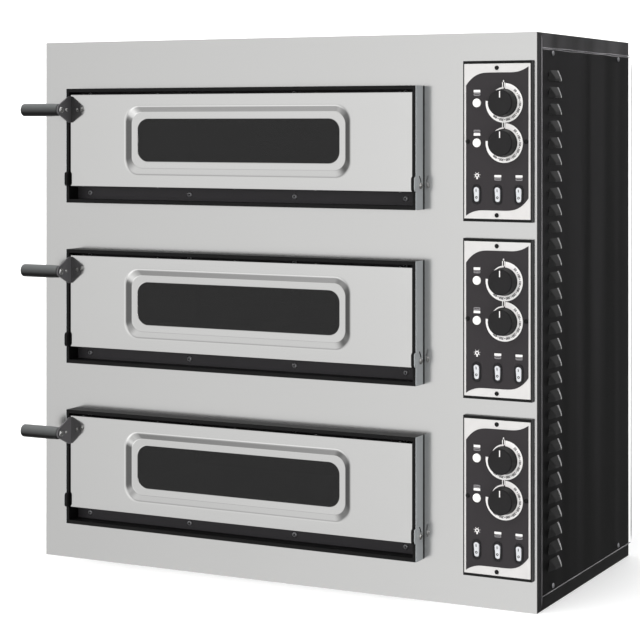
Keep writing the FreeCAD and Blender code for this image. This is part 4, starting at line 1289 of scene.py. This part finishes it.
class OVEN_OT_pilots(bpy.types.Operator):
    """Turn the domed signal lamps"""
    bl_idname = "oven.pilots"
    bl_label = "Pilot lamps"

    def execute(self, context):
        boxes = islands("pilot_lamps")
        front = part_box("faceplates")[0].y
        low, high = boxes[0]
        radius, height = (high.x - low.x) / 2, front - low.y
        steps = 7
        profile = [(radius, 0), (radius, height * 0.35)]
        for step in range(1, steps):
            angle = math.pi / 2 * step / steps
            profile.append((radius * math.cos(angle), height * (0.35 + 0.65 * math.sin(angle))))
        lens = lathe("lens", profile, 48)
        lenses = [stamp(lens, "lens", facing("-Y", (middle(box).x, front, middle(box).z)))
                  for box in boxes]
        discard(lens)
        piece = soften(join("signal_lenses", lenses), 0)
        finish_piece(piece, "pilot_lens", "casing", "pilot_lens", "pilot_lamps")
        return {"FINISHED"}


class OVEN_OT_knobs(bpy.types.Operator):
    """Turn the thermostat knobs and lay a white pointer in each face"""
    bl_idname = "oven.knobs"
    bl_label = "Knobs"

    def execute(self, context):
        low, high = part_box("knob_upper_1")
        skirt, height = (high.x - low.x) / 2, high.y - low.y
        face = skirt - 2 * MM
        profile = [(skirt - 0.5 * MM, 0), (skirt, 0.5 * MM), (skirt, 1.4 * MM),
                   (skirt - 0.5 * MM, 2.0 * MM), (skirt - 0.9 * MM, 3.0 * MM),
                   (face + 0.3 * MM, height - 2.2 * MM), (face, height - 1.2 * MM),
                   (face - 0.5 * MM, height - 0.45 * MM), (face - 1.3 * MM, height),
                   (face - 2.0 * MM, height), (face - 2.5 * MM, height - 0.35 * MM),
                   (face * 0.3, height - 0.45 * MM)]
        drum = soften(lathe("drum", profile, 96), 0)
        pointer = block("pointer", (-0.85 * MM, 8 * MM, height - 1 * MM),
                        (0.85 * MM, face - 1.6 * MM, height))
        soften(pointer, 0.15 * MM, segments=2)
        for deck in DECKS:
            for number in (1, 2):
                node = f"knob_{deck}_{number}"
                low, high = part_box(node)
                centre = middle((low, high))
                seat = facing("-Y", (centre.x, high.y, centre.z))
                finish_piece(stamp(drum, f"drum_{deck}_{number}", seat), "knob_plastic", node,
                             "knob_plastic", node)
                finish_piece(stamp(pointer, f"pointer_{deck}_{number}", seat), "white_print", node,
                             "printed_plate")
        discard(drum, pointer)
        return {"FINISHED"}


class OVEN_OT_switches(bpy.types.Operator):
    """Model the rocker switches: a rounded bezel, and a rocker with its two marks"""
    bl_idname = "oven.switches"
    bl_label = "Switches"

    def execute(self, context):
        boxes = islands("switch_bodies")
        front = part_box("faceplates")[0].y
        low, high = boxes[0]
        bezel = self.bezel((high.x - low.x) / 2, (high.z - low.z) / 2, front - low.y)
        bezels = [stamp(bezel, "bezel", (middle(box).x, front, middle(box).z)) for box in boxes]
        piece = join("switch_bezels", bezels)
        finish_piece(piece, "black_plastic", "casing", "black_plastic", "switch_bodies")
        discard(bezel)
        rocker, bar, ring = self.rocker()
        joints = {joint["child"]: joint for joint in frame["joints"]}
        tilt = Matrix.Rotation(math.radians(7), 4, "X")
        for deck in DECKS:
            for number in (1, 2, 3):
                node = f"rocker_{deck}_{number}"
                pivot = Matrix.Translation(joints[node]["pos_m"]) @ tilt
                finish_piece(stamp(rocker, f"lever_{deck}_{number}", pivot), "rocker_plastic", node,
                             "rocker_plastic", node)
                marks = join(f"marks_{deck}_{number}", [stamp(bar, "bar", pivot),
                                                        stamp(ring, "ring", pivot)])
                finish_piece(marks, "black_print", node, "printed_plate")
        discard(rocker, bar, ring)
        return {"FINISHED"}

    def stadium(self, name, half_x, half_z, near, far):
        """A block along Y with fully rounded ends."""
        piece = block(name, (-half_x, near, -half_z), (half_x, far, half_z))
        uprights = {edge.index for edge in piece.data.edges if run_back(piece.data, edge) > NEAR}
        choose(piece, "EDGE", lambda edge: edge.index in uprights)
        bpy.ops.mesh.bevel(offset=half_x * 0.98, segments=10, affect="EDGES")
        object_mode()
        return piece

    def bezel(self, half_x, half_z, depth):
        """A round-ended ring about a well, with the switch's case behind it."""
        ring = self.stadium("bezel", half_x, half_z, -depth, 0)
        well = self.stadium("well", half_x - 2.3 * MM, half_z - 1.9 * MM, -depth - 1 * MM, 18 * MM)
        back = block("back", (2 * MM - half_x, -0.1 * MM, 2 * MM - half_z),
                     (half_x - 2 * MM, 18 * MM, half_z - 2 * MM))
        modify(ring, "BOOLEAN", operation="DIFFERENCE", object=well, solver="EXACT")
        well_deep = self.stadium("well_deep", half_x - 2.4 * MM, half_z - 2.3 * MM, -1 * MM, 6 * MM)
        modify(back, "BOOLEAN", operation="DIFFERENCE", object=well_deep, solver="EXACT")
        discard(well, well_deep)
        return soften(join("bezel", [ring, back]), 0.45 * MM, segments=3)

    def rocker(self):
        """A stadium whose face dips to its middle, with a bar at its head and a ring at its foot."""
        half_x, half_z, tip, dip = 4.7 * MM, 12.5 * MM, -6.1 * MM, -5.2 * MM
        rocker = self.stadium("lever", half_x, half_z, tip, 2 * MM)
        edit_all(rocker)
        for height in (-4 * MM, 0, 4 * MM):
            bpy.ops.mesh.select_all(action="SELECT")
            bpy.ops.mesh.bisect(plane_co=(0, 0, height), plane_no=(0, 0, 1))
        object_mode()
        for vertex in rocker.data.vertices:
            if vertex.co.y < -4 * MM:
                share = max(0, 1 - abs(vertex.co.z) / half_z)
                vertex.co.y += (dip - tip) * share
            else:
                vertex.co.z *= 0.7
        soften(rocker, 1.6 * MM, segments=5, angle=50)
        slant = (dip - tip) / half_z
        bar = block("bar", (-0.7 * MM, tip - 0.25 * MM + slant * 4 * MM, 4.8 * MM),
                    (0.5 * MM, tip + slant * 9 * MM, 9.0 * MM))
        ring_centre = Vector((-0.3 * MM, 0, -4.2 * MM))
        level = tip + (dip - tip) * 0.6 - 0.1 * MM
        ring = thicken(sheet_grid("ring", 28, 1, ring_place(
            ring_centre, level, 0, 360, lambda a: 0.8 * MM, lambda a: 2.1 * MM)), 0.3 * MM)
        for vertex in ring.data.vertices:
            vertex.co.y += (abs(vertex.co.z) - half_z * 0.5) * -slant
        return rocker, bar, ring


# ---------------------------------------------------------------- stage

class OVEN_OT_stage(bpy.types.Operator):
    """A pale floor that curves up behind, soft light and the camera"""
    bl_idname = "oven.stage"
    bl_label = "Stage"

    def execute(self, context):
        self.floor()
        self.surroundings()
        self.lights()
        self.camera()
        return {"FINISHED"}

    def floor(self):
        """A white floor that curves up into a wall, out of the reflections."""
        clear_selection()
        bpy.ops.mesh.primitive_plane_add(size=1, location=(0, 0, 0))
        floor = bpy.context.object
        floor.scale = (30, 24, 1)
        floor.location = (0, -4, 0)
        floor = settle("studio_floor")
        choose(floor, "VERT", lambda v: v.co.y > 0)
        bpy.ops.mesh.extrude_region_move(TRANSFORM_OT_translate={"value": (0, 0, 12)})
        object_mode()
        modify(floor, "BEVEL", width=3.0, segments=12, limit_method="ANGLE")
        pick(floor)
        bpy.ops.object.shade_smooth()
        finish = Finish("studio_white", roughness=0.6, specular_ior_level=0.2,
                        emission_color=(1, 1, 1), emission_strength=0.25)
        cloud = finish.noise((0.6, 0.6, 0.6))
        finish.feed(base_color=finish.blend(cloud, grey(0.86), grey(0.90)))
        dress(floor, finish.material)
        floor.visible_glossy = False

    def lights(self):
        """A soft overhead sun for the matt surfaces, and one narrow softbox that edges reflect."""
        aim = middle(CAD_BOX)
        bpy.ops.object.light_add(type="SUN", location=(-1.6, -2.6, 2.6))
        sun = bpy.context.object
        sun.name = "soft_sun"
        sun.data.energy = 2.3
        sun.data.angle = math.radians(80)
        sun.visible_glossy = False
        bpy.ops.object.light_add(type="AREA", location=(3.2, -1.9, 1.0))
        strip = bpy.context.object
        strip.name = "side_softbox"
        strip.data.shape = "RECTANGLE"
        strip.data.size, strip.data.size_y = 0.35, 1.8
        strip.data.energy = 14
        for light in (sun, strip):
            light.rotation_euler = (aim - light.location).to_track_quat("-Z", "Y").to_euler()

    def surroundings(self):
        """Plain white behind; what shiny surfaces reflect is a bright wall at the front left."""
        world = bpy.data.worlds.new("studio_world")
        world.use_nodes = True
        tree = world.node_tree
        tree.nodes.clear()
        room = Studio(tree)
        way = room.node("ShaderNodeSeparateXYZ", None, {
            0: room.node("ShaderNodeTexCoord").outputs["Generated"]})
        x, y, z = (Wire(room, output) for output in way.outputs)
        around = x.maths("ARCTAN2", x, y * -1) * (0.5 / math.pi) + 0.5
        walls = room.ramp(around, ((0.0, 0.85), (0.16, 0.5), (0.27, 0.12), (0.33, 0.3),
                                   (0.385, 0.82), (0.42, 1.0), (0.455, 1.2), (0.505, 0.9),
                                   (0.545, 0.2), (0.68, 0.22), (0.80, 0.07), (0.955, 0.05),
                                   (0.99, 0.85)))
        ground = room.ramp(z * 0.5 + 0.5, ((0.0, 0.62), (0.17, 0.7), (0.25, 1.35), (0.31, 1.3),
                                           (0.36, 0.85), (0.42, 0.93), (0.5, 1.0), (0.56, 1.0),
                                           (0.66, 0.6), (0.8, 0.8)))
        above = room.ramp(z * 0.5 + 0.5, ((0.0, 0.0), (0.66, 0.0), (0.85, 1.0), (1.0, 1.0)))
        level = walls * ground * (1 - above) + above * 0.95
        seen = Wire(room, room.node("ShaderNodeLightPath").outputs["Is Camera Ray"])
        final = seen + (1 - seen) * level
        background = room.node("ShaderNodeBackground", None, {"Color": (1, 1, 1), "Strength": final})
        output = room.node("ShaderNodeOutputWorld")
        tree.links.new(background.outputs[0], output.inputs[0])
        bpy.context.scene.world = world

    def camera(self):
        """A level view from the right of the front, through a long lens."""
        low, high = CAD_BOX
        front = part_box("front_panel")[0].y
        bpy.ops.object.camera_add(location=(1.5077, front - 2.7989, 0.7553),
                                  rotation=(math.pi / 2, 0, math.radians(26.99)))
        camera = bpy.context.object
        camera.name = "view_camera"
        camera.data.sensor_width = 36
        camera.data.lens = 108.4
        camera.data.shift_y = -0.3059
        bpy.context.scene.camera = camera
        bpy.context.scene.view_settings.view_transform = "Standard"


# ---------------------------------------------------------------- the add-on

OPERATORS = (OVEN_OT_stage, OVEN_OT_casing, OVEN_OT_louvres, OVEN_OT_surrounds, OVEN_OT_inside,
             OVEN_OT_gland, OVEN_OT_doors, OVEN_OT_handles, OVEN_OT_fasteners,
             OVEN_OT_control_panels, OVEN_OT_pilots, OVEN_OT_knobs, OVEN_OT_switches)


class OVEN_PT_panel(bpy.types.Panel):
    """Buttons for each group of the oven's pieces"""
    bl_idname = "OVEN_PT_panel"
    bl_label = "Deck Oven"
    bl_space_type = "VIEW_3D"
    bl_region_type = "UI"
    bl_category = "Deck Oven"

    def draw(self, context):
        for group in (context.scene.oven_colours, context.scene.oven_sizes):
            for name in group.bl_rna.properties.keys()[2:]:
                self.layout.prop(group, name)
        for operator in OPERATORS:
            self.layout.operator(operator.bl_idname)


def register():
    for item in (OvenColours, OvenSizes, *OPERATORS, OVEN_PT_panel):
        bpy.utils.register_class(item)
    bpy.types.Scene.oven_colours = bpy.props.PointerProperty(type=OvenColours)
    bpy.types.Scene.oven_sizes = bpy.props.PointerProperty(type=OvenSizes)


def unregister():
    del bpy.types.Scene.oven_sizes
    del bpy.types.Scene.oven_colours
    for item in reversed((OvenColours, OvenSizes, *OPERATORS, OVEN_PT_panel)):
        bpy.utils.unregister_class(item)


def main():
    """Build every group in order."""
    register()
    clear_selection()
    FINISHES.update(make_finishes(bpy.context.scene.oven_colours))
    for operator in OPERATORS:
        group, name = operator.bl_idname.split(".")
        getattr(getattr(bpy.ops, group), name)()
    clear_selection()


if __name__ == "__main__":
    main()
